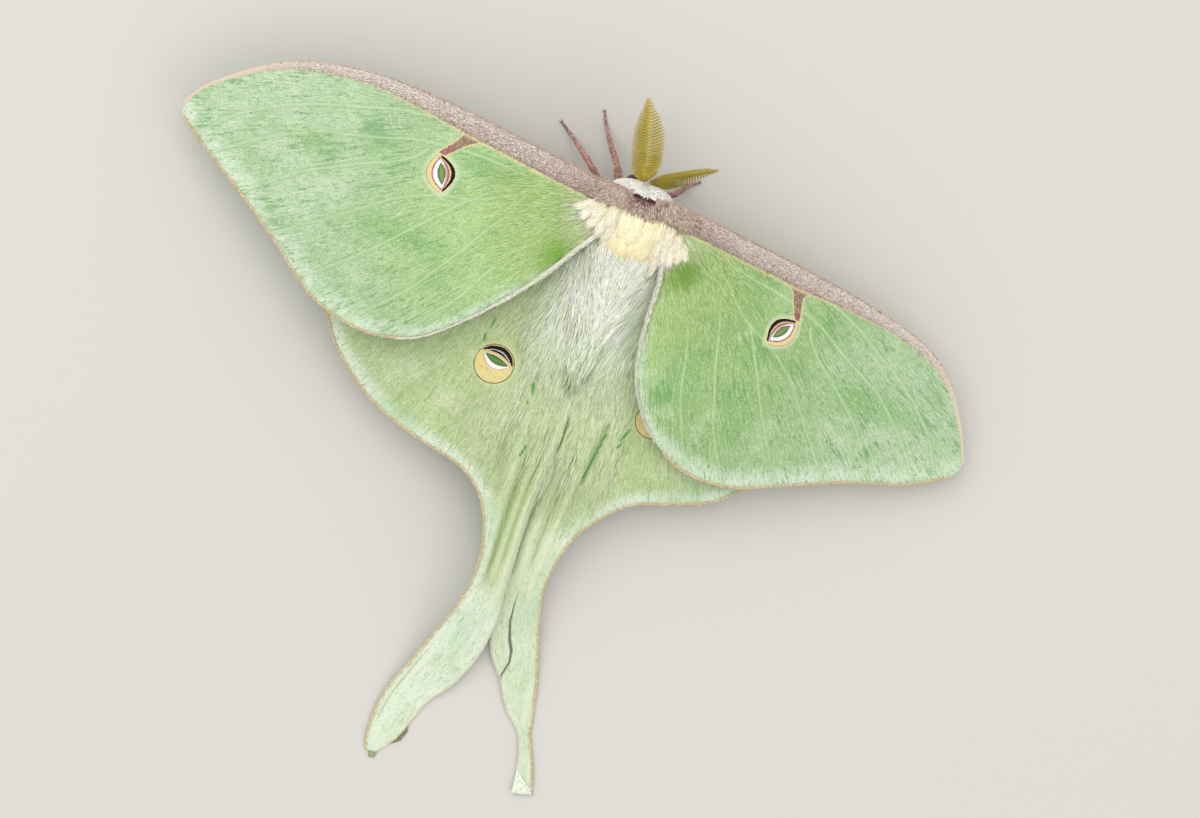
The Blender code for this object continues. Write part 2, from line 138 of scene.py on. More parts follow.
# 'shade' is how much painted shade darkens the tail: none on the left wing, more on the right one, which is away from
# the key light.
HINDWINGS = {
    "left": {
        "height": 10.5, "fall_out": 0.1051, "fall_back": 0.1057, "tip_drop": 0, "arch": 0, "lands_from": 44,
        "lands_by": 68, "pales": (41, 54), "eyespot": (9.1, 22.3, -12.4), "seed": 5, "shade": 0,
        "chords": (
            (3.4, 2.6, 3.4, 6.6), (10.5, 4.2, 3.6, 9.6), (18, 8.4, 3, 12.6), (25, 14, 1.9, 15.4),
            (29.8, 20.2, 0.8, 18.4), (28.3, 25.2, 0, 22.5), (24.2, 29.4, -0.5, 26.5), (19.4, 32.4, -0.8, 30),
            (14, 34.2, -0.9, 33.3), (8.8, 35.5, -1, 36.4), (5.2, 38.2, -1.1, 38.9), (3.2, 42.4, -1.4, 43.2),
            (2.5, 46.5, -1.8, 48), (2.7, 51, -2.4, 52.6), (4, 56.2, -2.2, 57), (5.2, 60.3, -0.8, 61.4),
            (6.5, 64, 1.4, 64.7), (7.1, 67.4, 2.4, 67.5), (7, 70.6, 3.5, 70.2), (6.5, 72.5, 5.2, 72.4),
        ),
    },
    "right": {
        "height": 9.5, "fall_out": 0.1051, "fall_back": 0.1057, "tip_drop": 0, "arch": 0, "lands_from": 40,
        "lands_by": 63, "pales": (33, 48), "eyespot": (11.2, 22.6, -12.4), "seed": 17, "shade": 0.55,
        "chords": (
            (3.4, 2.6, 3.4, 6.6), (9.5, 5.5, 3.6, 9.6), (17, 10.8, 3, 13.2), (23.5, 17, 2, 16.4),
            (27.6, 22.6, 0.8, 19.2), (26.5, 25.8, 0.2, 22.5), (22.4, 30, 0, 26.5), (17.6, 32, 0, 30),
            (12.8, 33.6, 0.1, 33.2), (9.4, 36.6, 0.2, 36.4), (7.5, 39.5, 0.3, 39.2), (6.6, 43, 0.5, 43.6),
            (6.5, 46.9, 1.2, 48), (7.7, 51.2, 2.2, 52.4), (9.1, 55, 3.6, 56.4), (10.2, 58.2, 5.9, 59.4),
            (11.2, 61.9, 7.8, 62.5), (11.9, 65, 10.2, 64.9), (13.3, 68, 11.4, 67.9), (14.6, 71.6, 12.2, 72.1),
        ),
    },
}
# Places on the forewings that are painted a darker green: place, half lengths.
DARKER_PLACES = {
    "left": (((25, 12), (6, 1.7)), ((16.8, 1.4), (5, 1.5)), ((38, 5.5), (4, 1.2)), ((30.5, 4), (1.6, 0.9))),
    "right": (((16.2, 3.9), (4.6, 1.7)), ((12, 17.6), (2.6, 4)), ((19.5, 19), (2, 4)), ((36, 13), (6, 2))),
}
BRIGHT_PLACES = {"left": (7.4, 8.2), "right": (6.8, 4.8)}
# Veins of the left forewing, from the root outward. The right wing has the same, turned back.
FOREWING_VEINS = (
    ((24.5, -1.9), (29.3, -1.3), (33.3, -0.2), (36.7, 0.8), (40, 2), (43.3, 3.5), (46.7, 5.7), (49.6, 8.6)),
    (
        (5, 0.4), (13, 0.9), (20, 0.6), (26.3, 1.2), (30, 2.3), (33.3, 3.2), (36.7, 4), (40, 5.5), (43.3, 7.3),
        (46, 9.3), (48.3, 11),
    ),
    ((25.2, 1.8), (26.2, 3.1), (28.7, 4.7), (31.7, 6), (35, 7.7), (37.7, 9.2), (40.7, 11.5), (43.3, 13.9)),
    (
        (5, 1.2), (8, 1.1), (11, 1.6), (14, 3.2), (16.7, 4.7), (19.3, 5.7), (22.7, 6.5), (26.7, 8.3), (30, 10.7),
        (33.3, 13.2), (36.3, 15.3), (38.9, 17.2),
    ),
    ((18.5, 5.4), (20, 6.8), (23.3, 10.3), (26.7, 14), (29, 16.2), (31.7, 18.7), (34.6, 20.9)),
    ((13.2, 2.8), (14.2, 5.4), (16, 8.2), (18, 11.7), (20, 14.7), (21.7, 17.3), (23.3, 19.2), (25.3, 21.2),
     (28.3, 23.7)),
    ((5.2, 2.4), (7, 4.4), (10, 7.2), (12.7, 10), (14.3, 12.7), (16.3, 16.5), (18, 18.8), (20, 21.3), (21.8, 23.2)),
)
HINDWING_VEINS = {
    "left": (
        ((4.6, 7), (7, 11), (10.4, 17), (11.6, 23), (12.6, 28), (13.8, 31.6), (14.4, 33.4)),
        ((5, 6.4), (9, 11), (13.6, 17), (16.6, 22.4), (18.4, 25.9), (19.8, 29.4), (20.4, 31.2)),
        ((5.6, 5.6), (11, 9), (17, 14), (21, 18.6), (24.6, 24.6), (26, 26.6)),
        ((4.2, 8), (5.4, 14), (6.6, 22), (7, 29), (6.2, 34), (4, 38.5), (1.9, 44), (1.4, 49)),
        ((3.6, 9), (3.6, 15), (3.6, 22), (3.4, 30), (2.6, 36), (1, 42), (0.2, 48), (0.2, 54), (1.6, 59), (3.6, 63.5)),
    ),
    "right": (
        ((4.6, 7), (7, 11), (9.6, 17), (10.8, 23), (11.6, 28), (12.4, 30.6), (12.8, 32.6)),
        ((5, 6.4), (9, 11), (13, 17), (15.8, 22.4), (17.2, 25.9), (18, 28.4), (18.4, 30.4)),
        ((5.6, 5.6), (10, 9.6), (15.6, 14.4), (19.6, 18.6), (22.8, 23.6), (24.4, 26)),
        ((4.2, 8), (5.4, 14), (6.6, 22), (7, 29), (6.4, 34), (5.2, 39), (4.6, 44), (5.3, 49), (6.7, 53.4), (8, 57.4)),
        ((3.6, 9), (3.8, 15), (3.9, 22), (3.8, 30), (3, 36), (2.4, 41), (2.4, 45), (2.9, 49.4)),
    ),
}
# Lengthwise folds of a hindwing: path, half width, height over the sheet.
HINDWING_FOLDS = {
    "left": (
        (((-0.5, 27), (-0.45, 34), (-0.6, 41), (-1.1, 48), (-1.6, 54)), 0.38, 0.42),
        (((0.25, 22), (0.25, 32), (0.1, 41), (-0.3, 48)), 0.3, -0.25),
        (((0.9, 25), (0.8, 34), (0.5, 42), (0.1, 50)), 0.35, 0.25),
        (((1.7, 28), (1.6, 36), (1.2, 44), (0.9, 50)), 0.45, -0.4),
        (((3, 20), (3.2, 30), (2.5, 38), (1.8, 46), (1.5, 53)), 0.55, 0.3),
        (((4.6, 22), (4.9, 30), (4.2, 36)), 0.6, -0.22), (((14.2, 24), (16.4, 27.9), (18.9, 31.6)), 0.4, -0.18),
        (((15, 23.4), (17.5, 27.9), (20, 31.8)), 0.5, 0.12),
        (((2.6, 57), (4.2, 62), (5.4, 66.5), (5.9, 71)), 0.4, 0.28),
        (((3.4, 57), (5, 62), (6.2, 66.5), (6.5, 70)), 0.3, -0.2),
    ),
    "right": (
        (((1.5, 24), (1.5, 34), (1.6, 42), (2.2, 49)), 0.35, -0.3),
        (((2.4, 24), (2.5, 34), (2.6, 42), (3.2, 49)), 0.5, 0.32),
        (((3.6, 26), (3.7, 35), (3.7, 42), (4, 47)), 0.35, -0.25),
        (((4.8, 22), (4.9, 32), (4.8, 40), (5, 48), (6.4, 54)), 0.5, 0.3),
        (((6.3, 24), (6, 30), (5.6, 36)), 0.35, -0.3), (((8.4, 25), (8.1, 31), (7.6, 36)), 0.5, 0.22),
        (((9.6, 56.5), (10.1, 60.5), (10.7, 64.8)), 0.35, 0.45),
        (((12.4, 65.5), (13.1, 68.5), (13.8, 71.2)), 0.4, 0.35),
    ),
}
# Middles of the bluish wash on the tails and of the cream tint on their necks.
WASH = {"left": (1, 55.5), "right": (8.2, 57)}
CREAM = {"left": (-0.4, 42), "right": (3.4, 42)}
STREAKS = {
    "left": (((4.1, 23.5), (3.8, 25.9)), ((2.3, 30.6), (2.6, 32)), ((11, 17.6), (11.3, 20.6))),
    "right": (((6.4, 26.5), (6.1, 29.4), (5.7, 32.4)), ((8.8, 25), (8.3, 27.6)), ((1.4, 27.4), (1.3, 29.7))),
}
COSTA_WIDTHS = (
    (0, 2.35), (14, 2.3), (19, 2.25), (24, 1.85), (30, 1.3), (37, 0.95), (43, 0.6), (50, 0.25), (80, 0.2),
)

LEG_RADII = (0.8, 0.7, 0.6, 0.52, 0.42, 0.33, 0.3)
LEGS = {
    "foreleg_left": (
        (1.4, -0.3, 6.4), (2.2, -1.9, 4.6), (3, -3.5, 4.3), (4.1, -5.3, 2.6), (4.8, -6.8, 0.8), (5.2, -7.6, 0.24),
        (5.7, -8.6, 0.24),
    ),
    "foreleg_right": (
        (-1.4, -0.1, 6.4), (-2.6, -1.3, 4.9), (-4.2, -2.2, 4.5), (-5.5, -3, 2.8), (-6.4, -3.6, 0.8), (-7, -4, 0.24),
        (-7.8, -4.6, 0.24),
    ),
    "midleg_left": (
        (1.5, 1.5, 6.2), (3.4, 0, 4.9), (5.1, -1.7, 5), (6.9, -3.2, 4), (8.4, -4.6, 1.2), (9.1, -5.2, 0.24),
        (10, -5.8, 0.24),
    ),
    "midleg_right": (
        (-1.5, 1.2, 6.2), (-3.4, 0.6, 4.9), (-5.4, 0.5, 5), (-7.4, 1, 3.9), (-9, 1.9, 1.2), (-9.9, 2.5, 0.24),
        (-10.9, 3.2, 0.24),
    ),
    "hindleg_left": (
        (1.5, 3.4, 6), (3.1, 5.2, 4.3), (4.8, 7.4, 4.6), (6.3, 9.7, 3.6), (7.3, 12, 1.2), (7.8, 13.2, 0.24),
        (8.3, 14.4, 0.24),
    ),
    "hindleg_right": (
        (-1.5, 3.4, 6), (-3.1, 5.2, 4.3), (-5, 7.2, 4.6), (-6.8, 9.2, 3.6), (-8, 11.3, 1.2), (-8.6, 12.4, 0.24),
        (-9.2, 13.6, 0.24),
    ),
}


# ---------------------------------------------------------------- places and shapes

def origin_shift():
    """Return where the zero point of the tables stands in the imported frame, in metres."""
    low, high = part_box("thorax")
    return np.array(Vector(((low.x + high.x) / 2, low.y - THORAX_FRONT * MM, 0.0)))


SHIFT = origin_shift()


def smooth_line(points, count):
    """Return count places on a smooth line through the given ones."""
    points = np.asarray(points, float)
    padded = np.vstack((2 * points[0] - points[1], points, 2 * points[-1] - points[-2]))
    share = np.linspace(0, len(points) - 1, count)
    first = np.minimum(share.astype(int), len(points) - 2)
    t = (share - first)[:, None]
    a, b, c, d = (padded[first + k] for k in range(4))
    return b + 0.5 * t * ((c - a) + t * (2 * a - 5 * b + 4 * c - d + t * (3 * b - a - 3 * c + d)))


def ease(low, high, value):
    """Return 0 below low, 1 above high and a smooth rise between."""
    t = np.clip((value - low) / (high - low), 0.0, 1.0)
    return t * t * (3 - 2 * t)


def unit(vectors, least=0.0):
    """Return vectors scaled to length one."""
    return vectors / (np.linalg.norm(vectors, axis=-1, keepdims=True) + least)


def bell(away, width):
    """Return 1 at no distance, falling smoothly to 0 over about two widths."""
    return np.exp(-(away / width) ** 2)


def rail(chords, column, count):
    """Return one edge of a wing as a smooth line: the leading one from column 0, the trailing one from column 2."""
    return smooth_line(np.asarray(chords)[:, column:column + 2], count)


def outline(chords, sign, inset=0.0):
    """Return a wing's outline seen from above, its trailing edge moved in by inset."""
    return np.vstack((rail(chords, 0, 120), (rail(chords, 2, 120) - (inset, 0))[::-1])) * (sign, 1.0)


def run_along(line):
    """Return how far along a line each of its places is."""
    return np.r_[0, np.cumsum(np.hypot(*np.diff(line, axis=0).T))]


def at_run(line, run, place):
    """Return the places at distances along a line."""
    return np.column_stack([np.interp(place, run, line[:, k]) for k in (0, 1)])


def amount(number):
    """Return how many hairs there are at the set density."""
    return int(number * bpy.context.scene.moth_coat.density)


def tube_rings(path, radius, across, face, sides):
    """Return rings of points around a path."""
    angles = 2 * np.pi * np.arange(sides) / sides
    return [place + size * (np.outer(np.cos(angles), a) + np.outer(np.sin(angles), b))
            for place, size, a, b in zip(path, radius, across, face)]


def wing_height(wing, x, y, along, across):
    """Return the height of the middle of a wing over the floor."""
    out = np.maximum(x - HINGE_X, 0.0)
    plane = wing["height"] - wing["fall_out"] * (x - HINGE_X) - wing["fall_back"] * y
    plane = plane - wing["tip_drop"] * (out / 47.0) ** 3
    plane = plane + wing["arch"] * 4 * across * (1 - across) * (1 - along) * ease(0.0, 0.12, along)
    if "lands_by" in wing:
        plane = plane + (0.275 - plane) * ease(wing["lands_from"], wing["lands_by"], y)
    return plane


def line_distance(places, line):
    """Return each place's distance to a line of points and how far along the line it is."""
    line = np.asarray(line, float)
    best, reach, run = np.full(len(places), 1e9), np.zeros(len(places)), 0.0
    for a, step in zip(line, np.diff(line, axis=0)):
        size = np.hypot(*step)
        if size < 1e-9:
            continue
        t = np.clip(((places - a) @ step) / size ** 2, 0, 1)
        far = np.hypot(*(places - (a + t[:, None] * step)).T)
        near = far < best
        best[near], reach[near] = far[near], run + t[near] * size
        run += size
    return best, reach


def turned(points, degrees):
    """Return plan points turned backward about the wing's hinge."""
    angle = math.radians(degrees)
    away = np.asarray(points, float) - (HINGE_X, 0.5)
    x = away[:, 0] * math.cos(angle) - away[:, 1] * math.sin(angle)
    y = away[:, 0] * math.sin(angle) + away[:, 1] * math.cos(angle)
    return np.column_stack((x + HINGE_X, y + 0.5))


# ---------------------------------------------------------------- pieces

def link_piece(name, mesh, material, nodes=()):
    """Put a mesh in millimetres into the frame as a piece that rides on the body."""
    mesh.transform(Matrix.Scale(MM, 4))
    mesh.transform(Matrix.Translation(Vector(SHIFT)))
    mesh.materials.clear()
    mesh.materials.append(material)
    piece = bpy.data.objects.new(name, mesh)
    bpy.context.scene.collection.objects.link(piece)
    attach(piece, BODY)
    if nodes:
        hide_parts(*nodes)
    return piece


def mesh_of(bm, name, smooth=True):
    """Turn a bmesh into a mesh and free it."""
    mesh = bpy.data.meshes.new(name)
    bm.to_mesh(mesh)
    bm.free()
    if smooth:
        mesh.shade_smooth()
    return mesh


def note(mesh, name, values):
    """Store one number or one vector for each vertex of a mesh."""
    values = np.asarray(values, np.float32)
    kind = "FLOAT" if values.ndim == 1 else "FLOAT_VECTOR"
    attribute = mesh.attributes.new(name, kind, "POINT")
    attribute.data.foreach_set("value" if values.ndim == 1 else "vector", values.ravel())


def strand_mesh(name, paths, widths, sides=3, flat=0.45, ups=UP, tints=None, patches=None, full=0.25, blunt=0.0):
    """Join many slender closed strands into one mesh.

    paths holds the middle line of each strand, ups the way its flat side looks, widths its width.
    """
    paths = np.asarray(paths, float)
    count, steps, _ = paths.shape
    along = unit(np.gradient(paths, axis=1), 1e-12)
    across = unit(np.cross(along, ups), 1e-12)
    lift = np.cross(across, along)
    share = np.linspace(0, 1, steps)
    taper = np.minimum(0.55 + share / full * 0.45, 1.0) * (1 - share ** 2.2 * (1 - blunt))
    taper[-1] = blunt * 0.6
    half = np.asarray(widths, float)[:, None, None] / 2 * taper[None, :, None]
    angles = 2 * np.pi * np.arange(sides) / sides + (np.pi / 2 if sides == 3 else np.pi / sides)
    rings = [paths + across * half * math.cos(a) + lift * half * flat * math.sin(a) for a in angles]
    ring = np.arange(sides)
    after = (ring + 1) % sides
    last = (steps - 1) * sides
    size = last + (sides if blunt else 1)
    faces = [np.array([[0, k + 1, k]]) for k in range(1, sides - 1)]
    for low in range(0, last if blunt else last - sides, sides):
        high = low + sides
        faces += [np.column_stack((low + ring, low + after, high + after)),
                  np.column_stack((low + ring, high + after, high + ring))]
    if blunt:
        faces += [np.array([[last, last + k, last + k + 1]]) for k in range(1, sides - 1)]
    else:
        faces.append(np.column_stack((last - sides + ring, last - sides + after, np.full(sides, last))))
    places = np.stack(rings, axis=2).reshape(count, -1, 3)[:, :size].reshape(-1, 3)
    reach = np.tile(np.repeat(share, sides)[:size], count)
    triangles = np.vstack(faces)[None, :, ::-1] + size * np.arange(count)[:, None, None]
    triangles = triangles.reshape(-1, 3).astype(np.int32)
    mesh = bpy.data.meshes.new(name)
    mesh.vertices.add(len(places))
    mesh.vertices.foreach_set("co", places.astype(np.float32).ravel())
    mesh.loops.add(triangles.size)
    mesh.loops.foreach_set("vertex_index", triangles.ravel())
    mesh.polygons.add(len(triangles))
    mesh.polygons.foreach_set("loop_start", np.arange(0, triangles.size, 3, dtype=np.int32))
    mesh.update(calc_edges=True)
    mesh.shade_smooth()
    note(mesh, "tip", reach)
    note(mesh, "root", np.repeat(paths[:, 0], size, axis=0))
    if tints is not None:
        note(mesh, "tint", np.repeat(tints, size))
    if patches is not None:
        local = np.column_stack((reach, np.tile(np.tile(ring / (sides - 1), steps)[:size], count)))
        spread = np.repeat(np.clip(patches, 0.002, 0.998), size, axis=0) + (local - 0.5) * 0.003
        layer = mesh.uv_layers.new(name="OFBake")
        layer.data.foreach_set("uv", spread[triangles.ravel()].astype(np.float32).ravel())
    return mesh


# ---------------------------------------------------------------- materials

def linear_colour(tone):
    """Return the linear colour of an sRGB hex value."""
    channels = [int(tone[i:i + 2], 16) / 255.0 for i in (0, 2, 4)]
    return tuple(c / 12.92 if c <= 0.04045 else ((c + 0.055) / 1.055) ** 2.4 for c in channels)


def add_node(tree, kind, inputs=None, **settings):
    """Add one node with its settings.

    An input that is a node or a socket is linked, "@name" links the number of that name stored on the mesh, other
    text is an sRGB hex colour, and anything else is set.
    """
    node = tree.nodes.new("ShaderNode" + kind)
    for key, value in settings.items():
        setattr(node, key, value)
    for key, value in (inputs or {}).items():
        if isinstance(value, str) and value[0] == "@":
            value = add_node(tree, "Attribute", attribute_name=value[1:]).outputs["Fac"]
        elif isinstance(value, str):
            value = (*linear_colour(value), 1.0)
        elif isinstance(value, bpy.types.Node):
            value = value.outputs[0]
        if isinstance(value, bpy.types.NodeSocket):
            tree.links.new(value, node.inputs[key])
        else:
            node.inputs[key].default_value = value
    return node


def new_material(name, roughness, **constants):
    """Return a new material, its tree, its shader with the constants set, and the places on the object."""
    made = bpy.data.materials.new(name)
    made.use_nodes = True
    tree = made.node_tree
    shader = tree.nodes["Principled BSDF"]
    for key, value in {"Roughness": roughness, **constants}.items():
        shader.inputs[key.replace("_", " ")].default_value = value
    return made, tree, shader, add_node(tree, "TexCoord").outputs["Object"]


def paint(tree, under, layers):
    """Lay colours over a base: each layer is a source, where it starts and is full, its most, its colour.

    A source of three parts is a noise, its amount, and the measure whose edge it breaks up.
    """
    for source, start, full, most, colour in layers:
        if isinstance(source, tuple):
            source = add_node(tree, "Math", dict(enumerate(source)), operation="MULTIPLY_ADD")
        share = add_node(
            tree, "MapRange", {"Value": source, "From Min": start, "From Max": full, "To Min": 0.0, "To Max": most},
            interpolation_type="SMOOTHSTEP")
        under = add_node(tree, "Mix", {0: share, 6: under, 7: colour}, data_type="RGBA").outputs[2]
    return under


def finish_shader(tree, shader, colour, height=None, strength=0.4, depth=0.04):
    """Link a colour and, where there is one, a height in millimetres to a shader."""
    tree.links.new(colour, shader.inputs["Base Color"])
    if height is not None:
        bump = add_node(tree, "Bump", {"Strength": strength, "Distance": depth * MM, "Height": height})
        tree.links.new(bump.outputs[0], shader.inputs["Normal"])


def drawn_out(tree, rays, location, scale, detail, roughness=0.6):
    """Return noise that is drawn out along a wing's rays."""
    moved = add_node(tree, "Mapping", {"Location": location, "Scale": (*scale, 1), "Vector": rays})
    return add_node(tree, "TexNoise", {"Vector": moved, "Scale": 1.0, "Detail": detail, "Roughness": roughness})


# Finishes with one tone: roughness, other constants, noises (scale, detail, roughness), layers (noise, start, full,
# most, colour or None for the darker tone), strength and depth of the bump that the first noise gives.
FINISHES = {
    # Wing vein: a chitin tube under pale scales, matt and finely grained.
    "Scaled vein, matt ": (
        0.7, {"Sheen_Weight": 0.12, "Specular_IOR_Level": 0.25}, ((4200, 2, 0.7),),
        ((0, 0.5, 0.72, 0.5, "92B27A"), (0, 0.5, 0.3, 0.4, "D3E2BC")), 0.4, 0.04),
    # Turned-over corner of a tail: the dull, grainy underside of the scales.
    "Turned wing scales, matt ": (
        0.75, {"Sheen_Weight": 0.1, "Specular_IOR_Level": 0.2}, ((4600, 2, 0.7),),
        ((0, 0.5, 0.68, 0.5, "6F7C4C"), (0, 0.48, 0.34, 0.4, "F0F2E4")), 0.4, 0.05),
    # Antenna: ochre cuticle under down, dull, with darker clouds.
    "Downy ochre cuticle, dull ": (
        0.55, {"Sheen_Weight": 0.1, "Specular_IOR_Level": 0.35}, ((5200, 2, 0.5), (420, 2, 0.5)),
        ((0, 0.5, 0.75, 0.5, None), (0, 0.48, 0.3, 0.35, "CDB95A"), (1, 0.5, 0.7, 0.35, None)), 0.3, 0.02),
    # Leg: jointed cuticle dusted with pink and brown scales, dull.
    "Scaled cuticle, pink brown": (
        0.6, {"Sheen_Weight": 0.1, "Specular_IOR_Level": 0.35}, ((3000, 3, 0.7), (520, 2, 0.5)),
        ((1, 0.5, 0.62, 0.8, "6E4238"), (1, 0.46, 0.38, 0.6, "C98F86"), (0, 0.55, 0.7, 0.7, "E4CFC8"),
         (0, 0.45, 0.3, 0.6, "5A352E")), 0.5, 0.04),
    # Claw: dark horn with a clear gloss and a faint brown grain.
    "Claw horn, glossy brown": (0.3, {"IOR": 1.55}, ((4000, 2, 0.5),), ((0, 0.5, 0.7, 0.5, "6B4630"),), 0.1, 0.01),
}


def toned_material(kind, part, tone, dark=None):
    """Return one of the finishes in a tone, made once for each part."""
    found = bpy.data.materials.get(kind + part)
    if found:
        return found
    roughness, constants, noises, layers, strength, depth = FINISHES[kind]
    made, tree, shader, place = new_material(kind + part, roughness, **constants)
    grains = [add_node(tree, "TexNoise", {"Vector": place, "Scale": scale, "Detail": detail, "Roughness": rough})
              for scale, detail, rough in noises]
    colour = paint(tree, tone, [(grains[which], *rest, shade or dark) for which, *rest, shade in layers])
    finish_shader(tree, shader, colour, grains[0], strength, depth)
    return made


def wing_base(tree, place, wing, fresh, inner, streak, light, crease_shade, over):
    """Return the scaled green ground of a wing: its colour, its grain's height, and its rays."""
    rays = add_node(tree, "Attribute", attribute_name="rays").outputs["Vector"]
    seed = wing["seed"]
    # Scales lie in rows along the veins: 0.25 mm across and several times as long.
    rows = drawn_out(tree, rays, (seed, 0, 0), (0.3, 3.6), 3)
    hairs = drawn_out(tree, rays, (0, 0, 0), (1.1, 7.5), 2)
    # One scale is about 0.1 mm; it is drawn at 0.2 mm so that the grain shows.
    grain = add_node(tree, "TexNoise", {"Vector": place, "Scale": 4600, "Detail": 2, "Roughness": 0.7})
    cloud = add_node(tree, "TexNoise", {"Vector": place, "Scale": 130, "Detail": 3})
    warm = add_node(tree, "Math", {0: cloud, 1: 0.5, 2: "@base"}, operation="MULTIPLY_ADD")
    span = add_node(tree, "MapRange", {"Value": warm, "From Min": 0.15, "From Max": 1.1})
    ground = add_node(tree, "Mix", {0: span, 6: fresh, 7: inner}, data_type="RGBA")
    # The dry sheet is crinkled a little along its veins; where the crinkles turn over, fine crease lines are painted
    # darker as painted shade.
    broad = add_node(tree, "TexNoise", {"Vector": place, "Scale": 210, "Detail": 4, "Roughness": 0.65})
    crinkle = drawn_out(tree, rays, (0, seed, 0), (0.5, 1.7), 3)
    fine = add_node(tree, "Math", {0: grain, 1: hairs}, operation="ADD")
    bend = drawn_out(tree, rays, (seed, 4, 0), (0.2, 0.55), 5, 0.62)
    ridge = add_node(tree, "Math", {0: bend, 1: 0.5}, operation="SUBTRACT")
    ridge = add_node(tree, "Math", {0: ridge}, operation="ABSOLUTE")
    shown = add_node(tree, "MapRange", {"Value": rows, "From Min": 0.42, "From Max": 0.56, "To Min": 0.05, "To Max": 0})
    line = add_node(tree, "Math", {0: ridge, 1: shown}, operation="ADD")
    colour = paint(tree, ground.outputs[2], (
        *over,
        (broad, 0.5, 0.68, 0.35, streak), (broad, 0.48, 0.32, 0.3, light),
        (rows, 0.52, 0.75, 0.35, streak), (rows, 0.48, 0.25, 0.3, light),
        (hairs, 0.52, 0.68, 0.6, streak), (hairs, 0.48, 0.32, 0.35, light),
        (grain, 0.5, 0.68, 0.45, streak), (grain, 0.5, 0.34, 0.3, light),
        # Painted shade along the crease lines.
        (line, 0.02, 0.005, 0.6, crease_shade),
    ))
    return colour, add_node(tree, "Math", {0: crinkle, 1: 7, 2: fine}, operation="MULTIPLY_ADD"), rays


def spot_axes(tree, place, centre, side):
    """Return place along and across an eyespot's long axis, and along squared, in millimetres."""
    x, y, degrees = centre
    angle = degrees if side > 0 else 180 - degrees
    start = (-(side * x * MM + SHIFT[0]), -(y * MM + SHIFT[1]), 0)
    turn = add_node(tree, "Mapping", {"Location": start, "Vector": place})
    spin = add_node(tree, "Mapping", {"Rotation": (0, 0, -math.radians(angle)), "Scale": (1000,) * 3, "Vector": turn})
    parts = add_node(tree, "SeparateXYZ", {0: spin})
    across = add_node(tree, "Math", {0: parts.outputs[1], 1: -side}, operation="MULTIPLY")
    return parts, across, add_node(tree, "Math", {0: parts, 1: parts}, operation="MULTIPLY")


def lens_gap(tree, across, square, far, far_length, near, near_length):
    """Return how far outside a pointed lens a place is, in millimetres; each side has its own bulge and length."""
    flipped = add_node(tree, "Math", {0: across, 1: -1}, operation="MULTIPLY")
    sides = []
    for offset, bulge, length in ((across, far, far_length), (flipped, near, near_length)):
        curve = add_node(tree, "Math", {0: square, 1: bulge / length ** 2, 2: offset}, operation="MULTIPLY_ADD")
        sides.append(add_node(tree, "Math", {0: curve, 1: -bulge}, operation="ADD"))
    return add_node(tree, "Math", dict(enumerate(sides)), operation="MAXIMUM")


# Forewing eyespot from the outside in: bulge and half length toward the tip, then toward the body, softness, colour.
FOREWING_SPOT = (
    (2.15, 2.95, 1.98, 2.75, 0.3, "C9DCBB"), (1.84, 2.48, 1.66, 2.26, 0.05, "D8CB96"),
    (0.3, 2.05, 1.54, 2.1, 0.03, "0B0A0E"), (1.8, 2.45, 1.1, 1.84, 0.04, "B08A62"),
    (1.7, 2.38, 1.02, 1.8, 0.05, "DCCB96"), (1.16, 1.98, 0.88, 1.74, 0.04, "8A4A58"),
    (1.06, 1.84, 0.72, 1.68, 0.05, "C48C9C"), (0.98, 1.78, 0.5, 1.6, 0.05, "F0F0EE"),
    (0.5, 1.3, 0.46, 1.25, 0.06, "4E6A32"), (0.28, 1.1, 0.26, 1.05, 0.14, "7C9456"),
)


